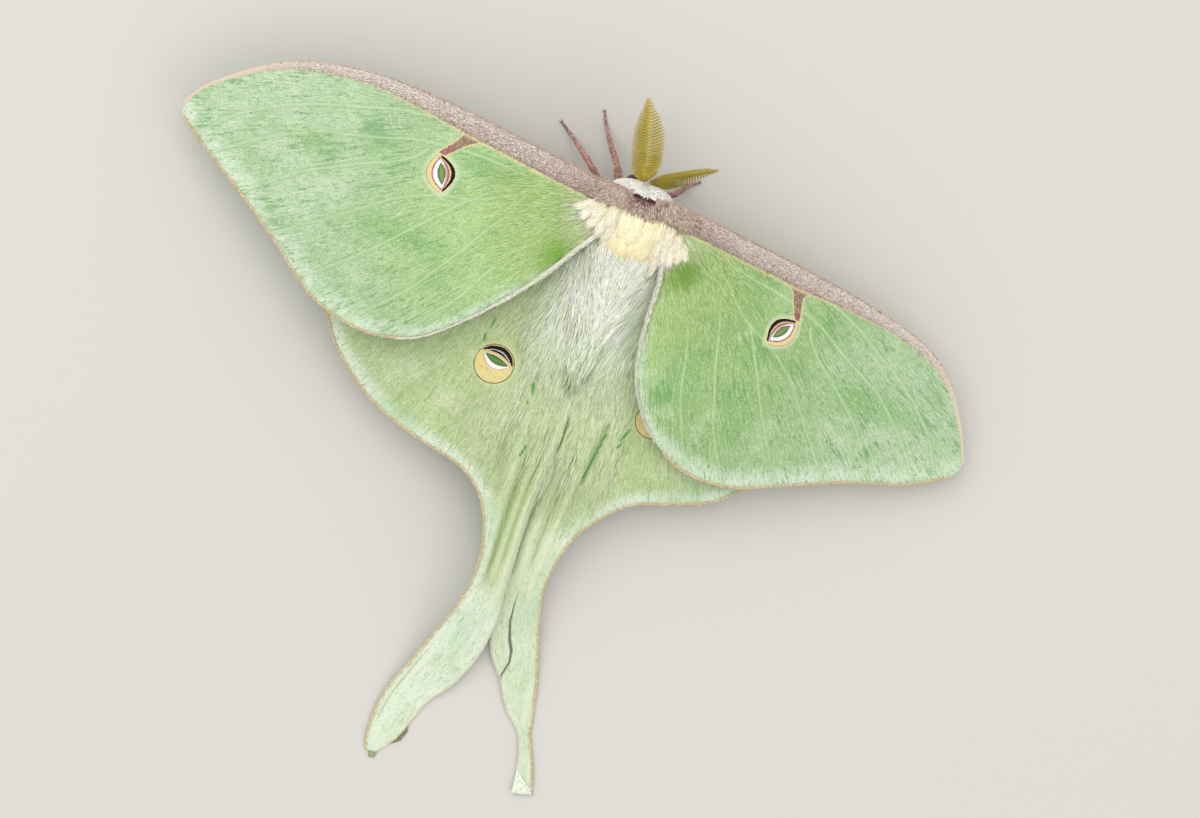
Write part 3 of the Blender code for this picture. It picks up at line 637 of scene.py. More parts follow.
def forewing_material(side):
    """Forewing: dry overlapping scales, matt with a faint silky sheen, eyespot and mauve front edge."""
    wing, tones = FOREWINGS[side], bpy.context.scene.moth_wings
    made, tree, shader, place = new_material(
        "Forewing scales, matt " + side, 0.72, Sheen_Weight=0.08, Sheen_Roughness=0.5, Specular_IOR_Level=0.2)
    colour, height, rays = wing_base(
        tree, place, wing, tones.forewing_outer, tones.forewing_inner, "7AA25C", "D6E4C2", "4E8A52", (
            # Painted shade over the wing beyond its root, as 'shade' sets: none on the left wing.
            ("@reach", 5, 12, wing["shade"], "7CA258"), ("@reach", 18, 42, 0.35, tones.rim_band),
            # The listed places painted a darker green, then the pale margin band.
            ("@thin", 0.1, 0.8, 0.75, "7FAE6E"), ("@rim", 3, 0.8, 0.75, tones.rim_band)))
    # Rubbed places, where the scales are gone and the green wing shows.
    scuff = drawn_out(tree, rays, (0, wing["seed"], 0), (0.3, 3.4), 4, 0.7)
    region = add_node(tree, "TexNoise", {"Vector": place, "Scale": 170, "Detail": 2})
    worn = add_node(tree, "Math", {0: scuff, 1: region}, operation="MULTIPLY")
    speck = add_node(tree, "TexNoise", {"Vector": place, "Scale": 4200, "Detail": 2, "Roughness": 0.7})
    _, across, square = spot_axes(tree, place, wing["eyespot"], SIDES[side])
    rough = add_node(tree, "Math", {0: speck, 1: 0.26, 2: across}, operation="MULTIPLY_ADD")
    halo, *rings = [(lens_gap(tree, rough, square, *shape), soft, tone) for *shape, soft, tone in FOREWING_SPOT]
    # The front edge: mauve scales mixed with white ones, a rusty line in front, and painted shade darkening its rear
    # edge where it dips to the wing.
    front = paint(tree, tones.costa, (
        (speck, 0.53, 0.65, 0.5, "D9CBC8"), (speck, 0.46, 0.34, 0.5, "8A6E70"), ("@edge", 0.1, 0.03, 0.7, "CDAE86"),
        ("@edge", 0.75, 1, 0.6, "7E625E"), ("@reach", 22, 44, 0.85, "D8C9B4")))
    stalk = paint(tree, "937A6A", (
        ("@stalk_reach", 2.6, 3.6, 0.9, "A85C66"), (speck, 0.5, 0.62, 0.5, "C2A890"),
        (speck, 0.46, 0.36, 0.7, "5E4A38")))
    colour = paint(tree, colour, (
        (worn, 0.3, 0.38, 0.6, "649A60"),
        ("@patch", 0.2, 0.85, 0.9, "7CB42A"),
        # Painted shade beside each raised vein, then the vein's own pale scales on it.
        ("@vein", 0.5, 0.22, 0.3, "8FB27A"),
        ("@vein", 0.2, 0.08, 0.3, "CFE0BA"),
        ((speck, 0.9, "@rim"), 0.62, 0.5, 0.6, "E2D6B0"),
        (halo[0], halo[1], -halo[1], 0.6, halo[2]),
        ((speck, 0.3, "@stalk"), 0.36, 0.24, 0.8, "D6C896"),
        ((speck, 0.3, "@stalk"), 0.17, 0.1, 1, stalk),
        *((gap, soft, -soft, 1, tone) for gap, soft, tone in rings),
        ((speck, 0.35, "@edge"), 1.42, 1.3, 0.8, "DCD09E"),
        ((speck, 0.35, "@edge"), 1.22, 1.14, 1, front),
    ))
    finish_shader(tree, shader, colour, height, 0.5, 0.05)
    return made


# Hindwing eyespot over its ochre disc: bulge and half length behind, then in front, softness, colour.
HINDWING_SPOT = (
    (0.45, 2, 0.66, 2.2, 0.05, "DDBA68"), (1.18, 1.78, 0.45, 1.7, 0.05, "C99CB0"),
    (1.1, 1.7, 0.4, 1.66, 0.06, "F0F0EE"), (0.6, 1.6, 0.32, 1.55, 0.06, "44642A"),
    (0.42, 1.35, 0.1, 1.3, 0.12, "5E8440"),
)


def hindwing_material(side):
    """Hindwing and tail: silky scales and fine hair, matt, with lengthwise streaks and a round eyespot."""
    wing, tones = HINDWINGS[side], bpy.context.scene.moth_wings
    made, tree, shader, place = new_material(
        "Hindwing scales, silky " + side, 0.7, Sheen_Weight=0.1, Sheen_Roughness=0.45, Specular_IOR_Level=0.2)
    colour, height, rays = wing_base(
        tree, place, wing, tones.hindwing_outer, tones.hindwing_inner, "93AA74", "E4EAD0", "84A066", (
            ("@rim", 2.2, 0.5, 0.85, tones.rim_band), ("@tail", 0, 1, 0.9, tones.tail),
            # The bluish wash, then painted shade over the right tail, as 'shade' sets.
            ("@wash", 0.1, 0.9, 0.45, "A9D2B0"), ("@tail", 0, 1, wing["shade"], "C4D2AC")))
    scuff = drawn_out(tree, rays, (0, wing["seed"], 0), (0.22, 3.2), 4, 0.7)
    cloud = add_node(tree, "TexNoise", {"Vector": place, "Scale": 130, "Detail": 3})
    speck = add_node(tree, "TexNoise", {"Vector": place, "Scale": 4200, "Detail": 2, "Roughness": 0.7})
    along, across, square = spot_axes(tree, place, wing["eyespot"], SIDES[side])
    behind = add_node(tree, "Math", {0: across, 1: -1}, operation="MULTIPLY")
    # The round disc, its black crescent in front and the pale shine across it.
    shifted = add_node(tree, "Math", {0: behind, 1: -0.545}, operation="ADD")
    centred = add_node(tree, "CombineXYZ", {0: along, 1: shifted})
    disc = add_node(tree, "VectorMath", {0: centred}, operation="LENGTH").outputs["Value"]
    disc = add_node(tree, "Math", {0: speck, 1: 0.2, 2: disc}, operation="MULTIPLY_ADD")
    rough = add_node(tree, "Math", {0: speck, 1: 0.14, 2: behind}, operation="MULTIPLY_ADD")
    black = add_node(tree, "Math", {0: disc, 1: 2.28}, operation="SUBTRACT")
    front = add_node(tree, "Math", {0: rough, 1: 0.2}, operation="ADD")
    crescent = add_node(tree, "Math", {0: black, 1: front}, operation="MAXIMUM")
    shine = add_node(tree, "Math", {0: square, 1: -0.26, 2: rough}, operation="MULTIPLY_ADD")
    shine = add_node(tree, "Math", {0: shine, 1: 0.99}, operation="ADD")
    shine = add_node(tree, "Math", {0: shine}, operation="ABSOLUTE")
    gaps = [(lens_gap(tree, rough, square, *shape), soft, tone) for *shape, soft, tone in HINDWING_SPOT]
    spot = paint(tree, "DACB8C", (
        (speck, 0.48, 0.66, 0.5, "E8D9A0"),
        (speck, 0.46, 0.34, 0.5, "BFA24E"),
        (crescent, 0.02, -0.03, 1, "0B0A0E"),
        ((speck, 0.5, shine), 0.36, 0.28, 0.75, "C3CCD2"),
        (disc, 2.31, 2.39, 0.85, "4A3A1E"),
        *((gap, soft, -soft, 1, tone) for gap, soft, tone in gaps),
    ))
    colour = paint(tree, colour, (
        (scuff, 0.6, 0.74, 0.6, "6E9F66"),
        (cloud, 0.56, 0.7, 0.3, "98BE8C"),
        ("@cream", 0.15, 0.9, 0.38, "D2D4AA"),
        ("@tail", 0.3, 1, 0.22, "D6E4CE"),
        # Painted shade in the furrows of the folds and painted highlight on their ridges.
        ("@fold", -0.04, -0.3, 0.6, "84955A"),
        ("@fold", 0.05, 0.35, 0.35, "E2E7CC"),
        ("@streak", 0.35, 0.8, 0.9, "3E8C46"),
        ((speck, 0.4, "@rim"), 0.44, 0.34, 0.6, "E2D6B0"),
        ("@inner", 0.6, 0.2, 0.5, "E2E6CE"),
        (disc, 2.85, 2.55, 0.5, "CBD3A8"),
        (disc, 2.5, 2.46, 1, spot),
    ))
    finish_shader(tree, shader, colour, height, 0.5, 0.05)
    return made


def coat_material(name, *tones, sheen=0.2, tip_tone=None):
    """Hair or scales: dark, middle and light strands side by side, matt and slightly silky. Made once."""
    found = bpy.data.materials.get(name)
    if found:
        return found
    made, tree, shader, place = new_material(
        name, 0.65, Sheen_Weight=sheen, Sheen_Roughness=0.4, Specular_IOR_Level=0.3)
    ramp = add_node(tree, "ValToRGB", {0: "@tint"})
    stops = ramp.color_ramp.elements
    for i in range(1, len(tones) - 1):
        stops.new(i / (len(tones) - 1))
    for stop, tone in zip(stops, tones):
        stop.color = (*linear_colour(tone), 1.0)
    grain = add_node(tree, "TexNoise", {"Vector": place, "Scale": 2600, "Detail": 1})
    # A fine grain, and each strand painted darker toward its root as painted shade deep in the coat.
    layers = [(grain, 0.55, 0.75, 0.18, tones[0]), ("@tip", 0.35, 0, 0.35, tones[0])]
    if tip_tone:
        layers.append(("@tip", 0.4, 1, 0.85, tip_tone))
    finish_shader(tree, shader, paint(tree, ramp.outputs[0], layers), grain, 0.2, 0.03)
    return made


# ---------------------------------------------------------------- wings

def wing_plan(chords, u, v):
    """Return plan places of a wing for shares from root to tip and from leading to trailing rail."""
    fine = smooth_line(chords, 40 * len(chords))
    place = u * (len(fine) - 1)
    first = np.minimum(place.astype(int), len(fine) - 2)
    share = (place - first)[:, None]
    chord = fine[first] * (1 - share) + fine[first + 1] * share
    return chord[:, :2] * (1 - v[:, None]) + chord[:, 2:] * v[:, None]


def inside(places, polygon):
    """Return which plan places lie in a polygon."""
    x, y = places[:, 0], places[:, 1]
    within = np.zeros(len(places), bool)
    corners = np.asarray(polygon, float)
    for a, b in zip(corners, np.roll(corners, -1, axis=0)):
        crosses = (a[1] > y) != (b[1] > y)
        within ^= crosses & (x < a[0] + (b[0] - a[0]) * (y - a[1]) / (b[1] - a[1] + 1e-12))
    return within


def wing_grid(name, columns, rows):
    """Return a flat grid mesh for a wing with its shares from root to tip and front to back."""
    bm = bmesh.new()
    bmesh.ops.create_grid(bm, x_segments=columns, y_segments=rows, size=0.5)
    mesh = mesh_of(bm, name)
    flat = np.zeros(len(mesh.vertices) * 3)
    mesh.vertices.foreach_get("co", flat)
    u, v = np.clip(flat.reshape(-1, 3)[:, :2] + 0.5, 0, 1).T
    return mesh, u, 0.7 * v + 0.3 * v * v


def thicken(piece, name, thickness):
    """Give a sheet its thickness, half of it on each side."""
    thick = piece.modifiers.new(name, "SOLIDIFY")
    thick.thickness, thick.offset = thickness, 0.0


def link_wing(mesh, sign, plan, height, measures, material, slot, nodes):
    """Move a wing's grid into place with its faces up, store its measures, and link it as a thin membrane."""
    mesh.vertices.foreach_set("co", np.column_stack((sign * plan[:, 0], plan[:, 1], height)).ravel())
    if sign < 0:
        mesh.flip_normals()
    mesh.update()
    for name, values in measures.items():
        note(mesh, name, values)
    piece = link_piece(mesh.name, mesh, material, nodes)
    thicken(piece, "Membrane", bpy.context.scene.moth_wings.membrane)
    return piece


def costa_width(reach):
    """Return the width of the mauve front band at a distance from the root."""
    return np.interp(reach, *zip(*COSTA_WIDTHS))


def forewing_surface(side, plan, u, v):
    """Return heights and the measures that steer the colours of a forewing."""
    wing = FOREWINGS[side]
    front, reach = line_distance(plan, rail(wing["chords"], 0, 300))
    rear = line_distance(plan, rail(wing["chords"], 2, 300))[0]
    width = costa_width(reach)
    edge = front / width
    veins = np.full(len(plan), 9.0)
    for line in FOREWING_VEINS:
        veins = np.minimum(veins, line_distance(plan, smooth_line(turned(line, wing["turn"]), 60))[0])
    roll = np.sqrt(np.clip(1 - (2 * np.clip(edge, 0, 1) - 1) ** 2, 0, 1))
    height = wing_height(wing, *plan.T, u, v) + 0.5 * width / 2.35 * roll * (edge < 1) + 0.05 * bell(veins, 0.5)
    fan, heart = turned(((-8.0, -14.0), (9.0, 8.0)), wing["turn"])
    away = plan - fan
    rays = np.column_stack((np.hypot(*away.T), 38 * np.arctan2(away[:, 1], away[:, 0]), np.zeros(len(plan))))
    base = np.clip(1.15 - np.hypot(*((plan - heart) / (1.35, 1)).T) / 15.0, 0, 1)
    return height, {"edge": edge, "reach": reach, "vein": veins, "rays": rays, "base": base,
                    "rim": rear / (0.5 + 0.5 * ease(0.36, 0.5, u))}


def build_forewing(side):
    """Build one forewing: its membrane and its raised veins."""
    wing = FOREWINGS[side]
    mesh, u, v = wing_grid("forewing_%s_membrane" % side, 210, 104)
    plan = wing_plan(wing["chords"], u, v)
    height, measures = forewing_surface(side, plan, u, v)
    stalk = line_distance(plan, (*wing["stalk"], wing["stalk"][0]))[0]
    measures["stalk"] = np.where(inside(plan, wing["stalk"]), -stalk, stalk)
    measures["stalk_reach"] = np.hypot(*(plan - wing["stalk_top"]).T)
    measures["patch"] = bell(np.hypot(*((plan - BRIGHT_PLACES[side]) * (1.5, 1)).T), 1.3)
    measures["thin"] = np.max([np.exp(-(((plan - place) / halves) ** 2).sum(axis=1))
                               for place, halves in DARKER_PLACES[side]], axis=0)
    piece = link_wing(
        mesh, SIDES[side], plan, height, measures, forewing_material(side), "forewing", ("forewing_" + side,))

    def hidden(places):
        """The veins run under the stalk's scales and under the front edge."""
        front, reach = line_distance(places, rail(wing["chords"], 0, 300))
        return inside(places, wing["stalk"]) | (front < 1.1 * costa_width(reach))

    lines = [turned(vein, wing["turn"]) for vein in FOREWING_VEINS]
    build_veins("forewing_%s_veins" % side, side, lines, piece.name, "forewing", hidden)


def build_veins(name, side, lines, under, slot, hidden=None):
    """Build the raised veins of a wing as slender tubes half sunk into its membrane; hidden() says where they dive."""
    ground, paths = Ground(under), []
    for line in lines:
        plan = smooth_line(line, 80)
        height = ground.top(plan * (SIDES[side], 1.0)) - 0.07
        if hidden:
            height -= 0.5 * hidden(plan)
        paths.append(np.column_stack((plan * (SIDES[side], 1.0), height)))
    mesh = strand_mesh(name, paths, np.full(len(paths), 0.19), 6, 1.0, full=0.02, blunt=0.3)
    tone = {"forewing": "B9D2A2", "hindwing": "B8C996"}[slot]
    link_piece(name, mesh, toned_material("Scaled vein, matt ", slot, tone))


def hindwing_surface(side, plan, u, v):
    """Return heights and the measures that steer the colours of a hindwing with its tail."""
    wing = HINDWINGS[side]
    rim, inner = (line_distance(plan, rail(wing["chords"], column, 500))[0] for column in (0, 2))
    x, y = plan.T
    fold = np.zeros(len(plan))
    for line, half, rise in HINDWING_FOLDS[side]:
        path = smooth_line(line, 60)
        far, reach = line_distance(plan, path)
        size = run_along(path)[-1]
        fold += rise * ease(0, 0.25 * size, reach) * ease(size, 0.8 * size, reach) * bell(far, half)
    settle = 1 - 0.75 * ease(wing["lands_from"], wing["lands_by"], y)
    height = wing_height(wing, x, y, u, v) + fold * settle * 0.8
    if side == "left":
        height = height - 0.62 * bell(inner, 1.8) * ease(12.0, 22.0, y) * settle
    share = ease(33.0, 40.0, y)
    lines = np.arctan2(x - 3.0, y + 8.0) * (1 - share) + (-0.089 + (1 - v) * 0.137) * share
    return height, {
        "rim": rim, "inner": inner, "fold": fold, "tail": ease(*wing["pales"], y),
        "rays": np.column_stack((y, 36 * lines, np.zeros(len(plan)))),
        "base": np.clip(1.0 - np.abs(x - 4) / 16.0, 0, 1) * ease(46, 30, y),
        "streak": np.max([bell(line_distance(plan, line)[0], 0.24) for line in STREAKS[side]], axis=0),
        "wash": bell(np.hypot(*((plan - WASH[side]) / (1.4, 3.2)).T), 1),
        "cream": bell(np.hypot(*((plan - CREAM[side]) / (2, 9)).T), 1),
    }


def build_hindwing(side):
    """Build one hindwing and its tail as one silky sheet, with its veins."""
    mesh, u, v = wing_grid("hindwing_%s_membrane" % side, 330, 76)
    plan = wing_plan(HINDWINGS[side]["chords"], u, v)
    piece = link_wing(mesh, SIDES[side], plan, *hindwing_surface(side, plan, u, v), hindwing_material(side), "hindwing",
                      ("hindwing_" + side, "tail_" + side))
    if side == "right":
        tear_tail(piece)
    build_veins("hindwing_%s_veins" % side, side, HINDWING_VEINS[side], piece.name, "hindwing")


TEAR = (
    (3.8, 48), (3.98, 49.6), (4.42, 51.9), (5.25, 54), (6.05, 55.4), (6.33, 57), (6, 58.9), (6.1, 59.6), (5.6, 59.4),
    (5.82, 58.6), (6.1, 56.9), (5.75, 55.6), (4.95, 54.2), (4.15, 51.9), (3.85, 49.6),
)


# Turned-over corners at the tips of the tails: wing, corners with their lift, kind of scales, colour.
TIP_FOLDS = {
    "tail_left_rolled_edge": (
        "left",
        (
            (2.7, 67.6, -0.2), (2.42, 68.9, -0.12), (2.85, 70.2, -0.12), (3.9, 70.95, -0.2), (4.3, 70.5, -0.25),
            (3.4, 69.2, -0.25),
        ),
        "olive", "6E7048",
    ),
    "tail_left_tip_flap": (
        "left", ((5, 72, -0.2), (5.15, 73.1, -0.1), (5.85, 73.25, -0.1), (6.2, 72.2, -0.2)), "green", "8E9C6C",
    ),
    "tail_right_folded_tip": (
        "right",
        (
            (11.8, 69.2, 0.04), (11.95, 71, 0.12), (12.05, 72.25, 0.08), (14.5, 71.7, 0.04), (14.35, 71.2, 0.14),
            (13.1, 70.3, 0.2),
        ),
        "white", "E4ECD8",
    ),
}


def build_tip_folds():
    """Build the turned-over corners of the tails as small curled sheets."""
    for name, (side, corners, kind, tone) in TIP_FOLDS.items():
        corners = np.asarray(corners) * (SIDES[side], 1.0, 1.0)
        under = Ground("hindwing_%s_membrane" % side).nearest(corners * (1, 1, 0) + UP)[0][:, 2]
        bm = bmesh.new()
        rim = [bm.verts.new((x, y, max(z + lift, 0.12))) for (x, y, lift), z in zip(corners, under)]
        bmesh.ops.poke(bm, faces=[bm.faces.new(rim)], offset=0.06)
        bmesh.ops.subdivide_edges(bm, edges=bm.edges, cuts=4, use_grid_fill=True, smooth=0.2)
        bmesh.ops.triangulate(bm, faces=bm.faces)
        bmesh.ops.recalc_face_normals(bm, faces=bm.faces)
        finish = toned_material("Turned wing scales, matt ", kind, tone)
        thicken(link_piece(name, mesh_of(bm, name), finish), "Sheet", 0.12 * MM)


def tear_tail(piece):
    """Cut the tear in the right tail through the finished sheet."""
    bm = bmesh.new()
    corners = [bm.verts.new((-x * MM + SHIFT[0], y * MM + SHIFT[1], -2 * MM)) for x, y in TEAR]
    floor = bm.faces.new(corners)
    raised = bmesh.ops.extrude_face_region(bm, geom=[floor])
    top = [v for v in raised["geom"] if isinstance(v, bmesh.types.BMVert)]
    bmesh.ops.translate(bm, vec=(0, 0, 16 * MM), verts=top)
    bmesh.ops.recalc_face_normals(bm, faces=bm.faces)
    cutter = bpy.data.objects.new("tear_cutter", mesh_of(bm, "tear_cutter", smooth=False))
    bpy.context.scene.collection.objects.link(cutter)
    cut = piece.modifiers.new("Tear", "BOOLEAN")
    cut.object = cutter
    cut.operation = "DIFFERENCE"
    cut.solver = "EXACT"
    view = bpy.context.evaluated_depsgraph_get()
    torn = bpy.data.meshes.new_from_object(piece.evaluated_get(view))
    piece.modifiers.clear()
    piece.data = torn
    bpy.data.objects.remove(cutter)


class Ground:
    """Finished pieces that hair can lie on, asked in millimetres."""

    def __init__(self, *names):
        view = bpy.context.evaluated_depsgraph_get()
        self.trees = []
        for name in names:
            piece = bpy.data.objects.get(name)
            if piece is None:
                raise RuntimeError("Build %s before the hair that lies on it" % name)
            self.trees.append(BVHTree.FromObject(piece, view))

    def top(self, places):
        """Return the height of the highest surface under plan places, or beside those that are off the edge."""
        heights = np.zeros(len(places))
        down = Vector((0, 0, -1))
        for i, (x, y) in enumerate(places):
            start = Vector((x * MM + SHIFT[0], y * MM + SHIFT[1], 0.03))
            hits = [tree.ray_cast(start, down)[0] for tree in self.trees]
            hits = [hit for hit in hits if hit is not None]
            if not hits:
                start.z = 0.01
                hits = [min((tree.find_nearest(start) for tree in self.trees), key=lambda hit: hit[3])[0]]
            heights[i] = max(hit.z for hit in hits) / MM
        return heights

    def nearest(self, places):
        """Return the nearest surface places and their normals."""
        found, normals = np.zeros((len(places), 3)), np.zeros((len(places), 3))
        for i, place in enumerate(places):
            point = Vector(place * MM + SHIFT)
            best = min((tree.find_nearest(point) for tree in self.trees), key=lambda hit: hit[3])
            found[i] = (np.array(best[0]) - SHIFT) / MM
            normals[i] = best[1]
        return found, normals


class Drape:
    """A smooth sheet laid over finished pieces, so that hair closes the creases between them."""

    STEP = 0.25

    def __init__(self, low, high, slope, *names):
        self.low = np.array(low, float)
        self.shape = tuple(int(math.ceil((high[k] - low[k]) / self.STEP)) + 1 for k in (0, 1))
        gx, gy = np.meshgrid(*(self.low[k] + self.STEP * np.arange(self.shape[k]) for k in (0, 1)), indexing="ij")
        under = Ground(*names).top(np.column_stack((gx.ravel(), gy.ravel()))).reshape(self.shape)
        sheet = under.copy()
        for _ in range(16):
            for axis in (0, 1):
                for way in (-1, 1):
                    beside = np.roll(sheet, way, axis=axis)
                    edge = [slice(None), slice(None)]
                    edge[axis] = 0 if way > 0 else -1
                    beside[tuple(edge)] = -1.0
                    sheet = np.maximum(sheet, beside - slope * self.STEP)
        for _ in range(3):
            padded = np.pad(sheet, 1, mode="edge")
            sheet = sum(padded[i:i + self.shape[0], j:j + self.shape[1]] for i in (0, 1, 2) for j in (0, 1, 2)) / 9
            sheet = np.maximum(sheet, under)
        self.sheet = sheet

    def top(self, places):
        """Return the sheet's height at plan places."""
        at = [np.clip((places[:, k] - self.low[k]) / self.STEP, 0, self.shape[k] - 1.001) for k in (0, 1)]
        i, j = (axis.astype(int) for axis in at)
        s, t = at[0] - i, at[1] - j
        return ((1 - s) * (1 - t) * self.sheet[i, j] + s * (1 - t) * self.sheet[i + 1, j]
                + (1 - s) * t * self.sheet[i, j + 1] + s * t * self.sheet[i + 1, j + 1])


# ---------------------------------------------------------------- body

def oval(y, middle, half_width, half_height, sides=40):
    """Return the points of one superellipse across the body."""
    angles = 2 * np.pi * np.arange(sides) / sides
    across, up = np.cos(angles), np.sin(angles)
    x = np.sign(across) * np.abs(across) ** (2 / SQUARENESS) * half_width
    z = np.sign(up) * np.abs(up) ** (2 / SQUARENESS) * half_height + middle
    return np.column_stack((x, np.full(sides, y), z))


def loft(bm, rings):
    """Join rings of points into a closed body."""
    edges = []
    for ring in rings:
        made = bmesh.ops.create_circle(bm, cap_ends=False, segments=len(ring), radius=1.0)["verts"]
        for vert, place in zip(made, ring):
            vert.co = Vector(place)
        edges.append(list({edge for vert in made for edge in vert.link_edges}))
    for near, far in zip(edges, edges[1:]):
        bmesh.ops.bridge_loops(bm, edges=near + far)
    for end in (edges[0], edges[-1]):
        bmesh.ops.contextual_create(bm, geom=end)
    bmesh.ops.recalc_face_normals(bm, faces=bm.faces)


def build_skin():
    """Build the one skin of head, palps, thorax and abdomen, set back by the coat's depth."""
    settings = bpy.context.scene.moth_body
    depth = settings.coat_depth / MM
    bm = bmesh.new()
    stations = smooth_line(TRUNK, 60)
    loft(bm, [oval(y, z, max(w - depth, 0.3), max(h - depth, 0.25)) for y, z, w, h in stations[2:-1]])
    loft(bm, [oval(y, z, w * 0.95, h * 0.96, 24) for y, z, w, h in smooth_line(HEAD, 16)])
    for sign in SIDES.values():
        palp = bmesh.ops.create_uvsphere(bm, u_segments=16, v_segments=12, radius=1.0)["verts"]
        bmesh.ops.scale(bm, vec=PALP_HALF_SIZES, verts=palp)
        bmesh.ops.translate(bm, vec=(sign * PALP_CENTRE[0], PALP_CENTRE[1] + 0.3, PALP_CENTRE[2] + 0.1), verts=palp)
    blocked = bpy.data.objects.new("skin_blocks", mesh_of(bm, "skin_blocks"))
    bpy.context.scene.collection.objects.link(blocked)
    join = blocked.modifiers.new("One skin", "REMESH")
    join.mode = "VOXEL"
    join.voxel_size = 0.16
    join.use_smooth_shade = True
    view = bpy.context.evaluated_depsgraph_get()
    mesh = bpy.data.meshes.new_from_object(blocked.evaluated_get(view))
    bpy.data.objects.remove(blocked)
    bm = bmesh.new()
    bm.from_mesh(mesh)
    for _ in range(4):
        bmesh.ops.smooth_vert(bm, verts=bm.verts, factor=0.5, use_axis_x=True, use_axis_y=True, use_axis_z=True)
    bm.to_mesh(mesh)
    bm.free()
    mesh.name = "body_skin"
    link_piece("body_skin", mesh, skin_material(),
               ("crest", "collar", "thorax", "abdomen", "head", "palp_left", "palp_right"))


def skin_material():
    """Skin under the coat: soft cuticle with short down, cream with a mauve collar, dull."""
    made, tree, shader, place = new_material("Downy cuticle, dull", 0.8, Sheen_Weight=0.2, Specular_IOR_Level=0.2)
    parts = add_node(tree, "SeparateXYZ", {0: place})
    grain = add_node(tree, "TexNoise", {"Vector": place, "Scale": 2200, "Detail": 3, "Roughness": 0.7})
    rows = add_node(tree, "Math", {0: grain, 1: 0.6 * MM, 2: parts.outputs[1]}, operation="MULTIPLY_ADD")
    # The red-brown band in the collar's parting (-1.25 to -1.05) is painted near black: its own colour deepened as
    # painted shade in the gap. The other bands are the skin's colours.
    bands = ((-1.25, -1.05, "4A241E"), (-0.8, -0.4, "9A7A74"), (1.2, 1.7, "D8C896"), (6, 8, "DDE3CC"))
    colour = paint(tree, "F6F5EF", (
        *((rows, SHIFT[1] + start * MM, SHIFT[1] + full * MM, 1, tone) for start, full, tone in bands),
        (grain, 0.55, 0.75, 0.4, "8E8A70")))
    finish_shader(tree, shader, colour, grain, 0.6, 0.08)
    return made


def build_eyes():
    """Build the two compound eyes: glossy black domes of fine facets."""
    finish = eye_material()
    for side, sign in SIDES.items():
        bm = bmesh.new()
        bmesh.ops.create_icosphere(bm, subdivisions=5, radius=bpy.context.scene.moth_body.eye_radius / MM)
        bmesh.ops.translate(bm, vec=(sign * EYE_CENTRE[0], *EYE_CENTRE[1:]), verts=bm.verts)
        link_piece("eye_%s_dome" % side, mesh_of(bm, "eye_%s_dome" % side), finish, ("eye_" + side,))


def eye_material():
    """Compound eye: clear cuticle over black pigment, glossy, with facets 0.05 mm across."""
    made, tree, shader, place = new_material(
        "Faceted cuticle, glossy black", 0.16, IOR=1.55, Coat_Weight=0.4, Coat_Roughness=0.08)
    # Real facets are 0.03 mm; they are drawn at 0.05 mm so that they show.
    cells = add_node(tree, "TexVoronoi", {"Vector": place, "Scale": 20000}, feature="F1")
    finish_shader(tree, shader, paint(tree, "0C0B0D", ((cells, 0.3, 0.6, 0.6, "1E1A20"),)), cells, 0.25, 0.01)
    return made


# ---------------------------------------------------------------- antennae and legs

def antenna_frames(side, count):
    """Return the shaft's places and its along, across and face directions."""
    points, roll = ANTENNAE[side]
    path = smooth_line(points, count)
    along = unit(np.gradient(path, axis=0))
    level = unit(np.cross(along, UP))
    turn = math.radians(roll)
    across = level * math.cos(turn) + np.cross(level, along) * math.sin(turn)
    return path, along, across, np.cross(across, along)


def build_antenna(side):
    """Build one antenna: a jointed shaft with two pairs of combed branches on each joint."""
    settings = bpy.context.scene.moth_antennae
    joints = settings.joints
    count = joints * 4 + 1
    path, along, across, face = antenna_frames(side, count)
    share = np.linspace(0, 1, count)
    reach = np.interp(share, *zip(*COMB_OUTLINE)) * settings.branch_length / MM
    bulge = 1.0 + 0.16 * np.cos(2 * np.pi * share * joints)
    bm = bmesh.new()
    loft(bm, tube_rings(path, settings.shaft_width / MM / 2 * (1.0 - 0.55 * share) * bulge, across, face, 12))
    shaft = mesh_of(bm, "antenna_%s_shaft" % side)
    kind = "Downy ochre cuticle, dull "
    link_piece(shaft.name, shaft, toned_material(kind, "shaft", "B8A440", "8E7A28"), ("antenna_" + side,))
    rng = np.random.default_rng(SEED)
    paths, ups, widths = [], [], []
    steps = np.linspace(0, 1, 9)
    for joint in range(1, joints):
        for half in (-1, 1):
            for twin in (0, 1):
                shown_apart = (half < 0) == (side == "left")
                place = (joint + 0.45 * twin * (1.0 if shown_apart else 0.25)) / joints
                k = min(place * (count - 1), count - 1.001)
                low = int(k)
                spot = path[low] * (1 - (k - low)) + path[low + 1] * (k - low)
                size = reach[low] * (1 - 0.06 * twin) * (1 + rng.normal(0, 0.015))
                drop = -0.2 * twin - (0.0 if shown_apart else 0.12 * twin)
                lift = settings.dihedral * size * steps + drop * min(size, 1.0) * np.sin(np.pi * steps * 0.9)
                paths.append(spot + np.outer(steps * size * (1 - 0.1 * steps ** 2), across[low] * half)
                             + np.outer(lift - 0.2 * size * steps ** 3, face[low])
                             + np.outer(0.3 * size * steps ** 1.8 + 0.06 * size * steps, along[low]))
                ups.append(np.tile(face[low], (len(steps), 1)))
                widths.append(settings.branch_width / MM * (0.9 + 0.1 * rng.random()))
    name = "antenna_%s_comb" % side
    mesh = strand_mesh(name, paths, widths, 5, 0.8, np.stack(ups), rng.random(len(paths)), full=0.05, blunt=0.35)
    link_piece(name, mesh, toned_material(kind, "comb", "B6A43A", "8A7A22"))


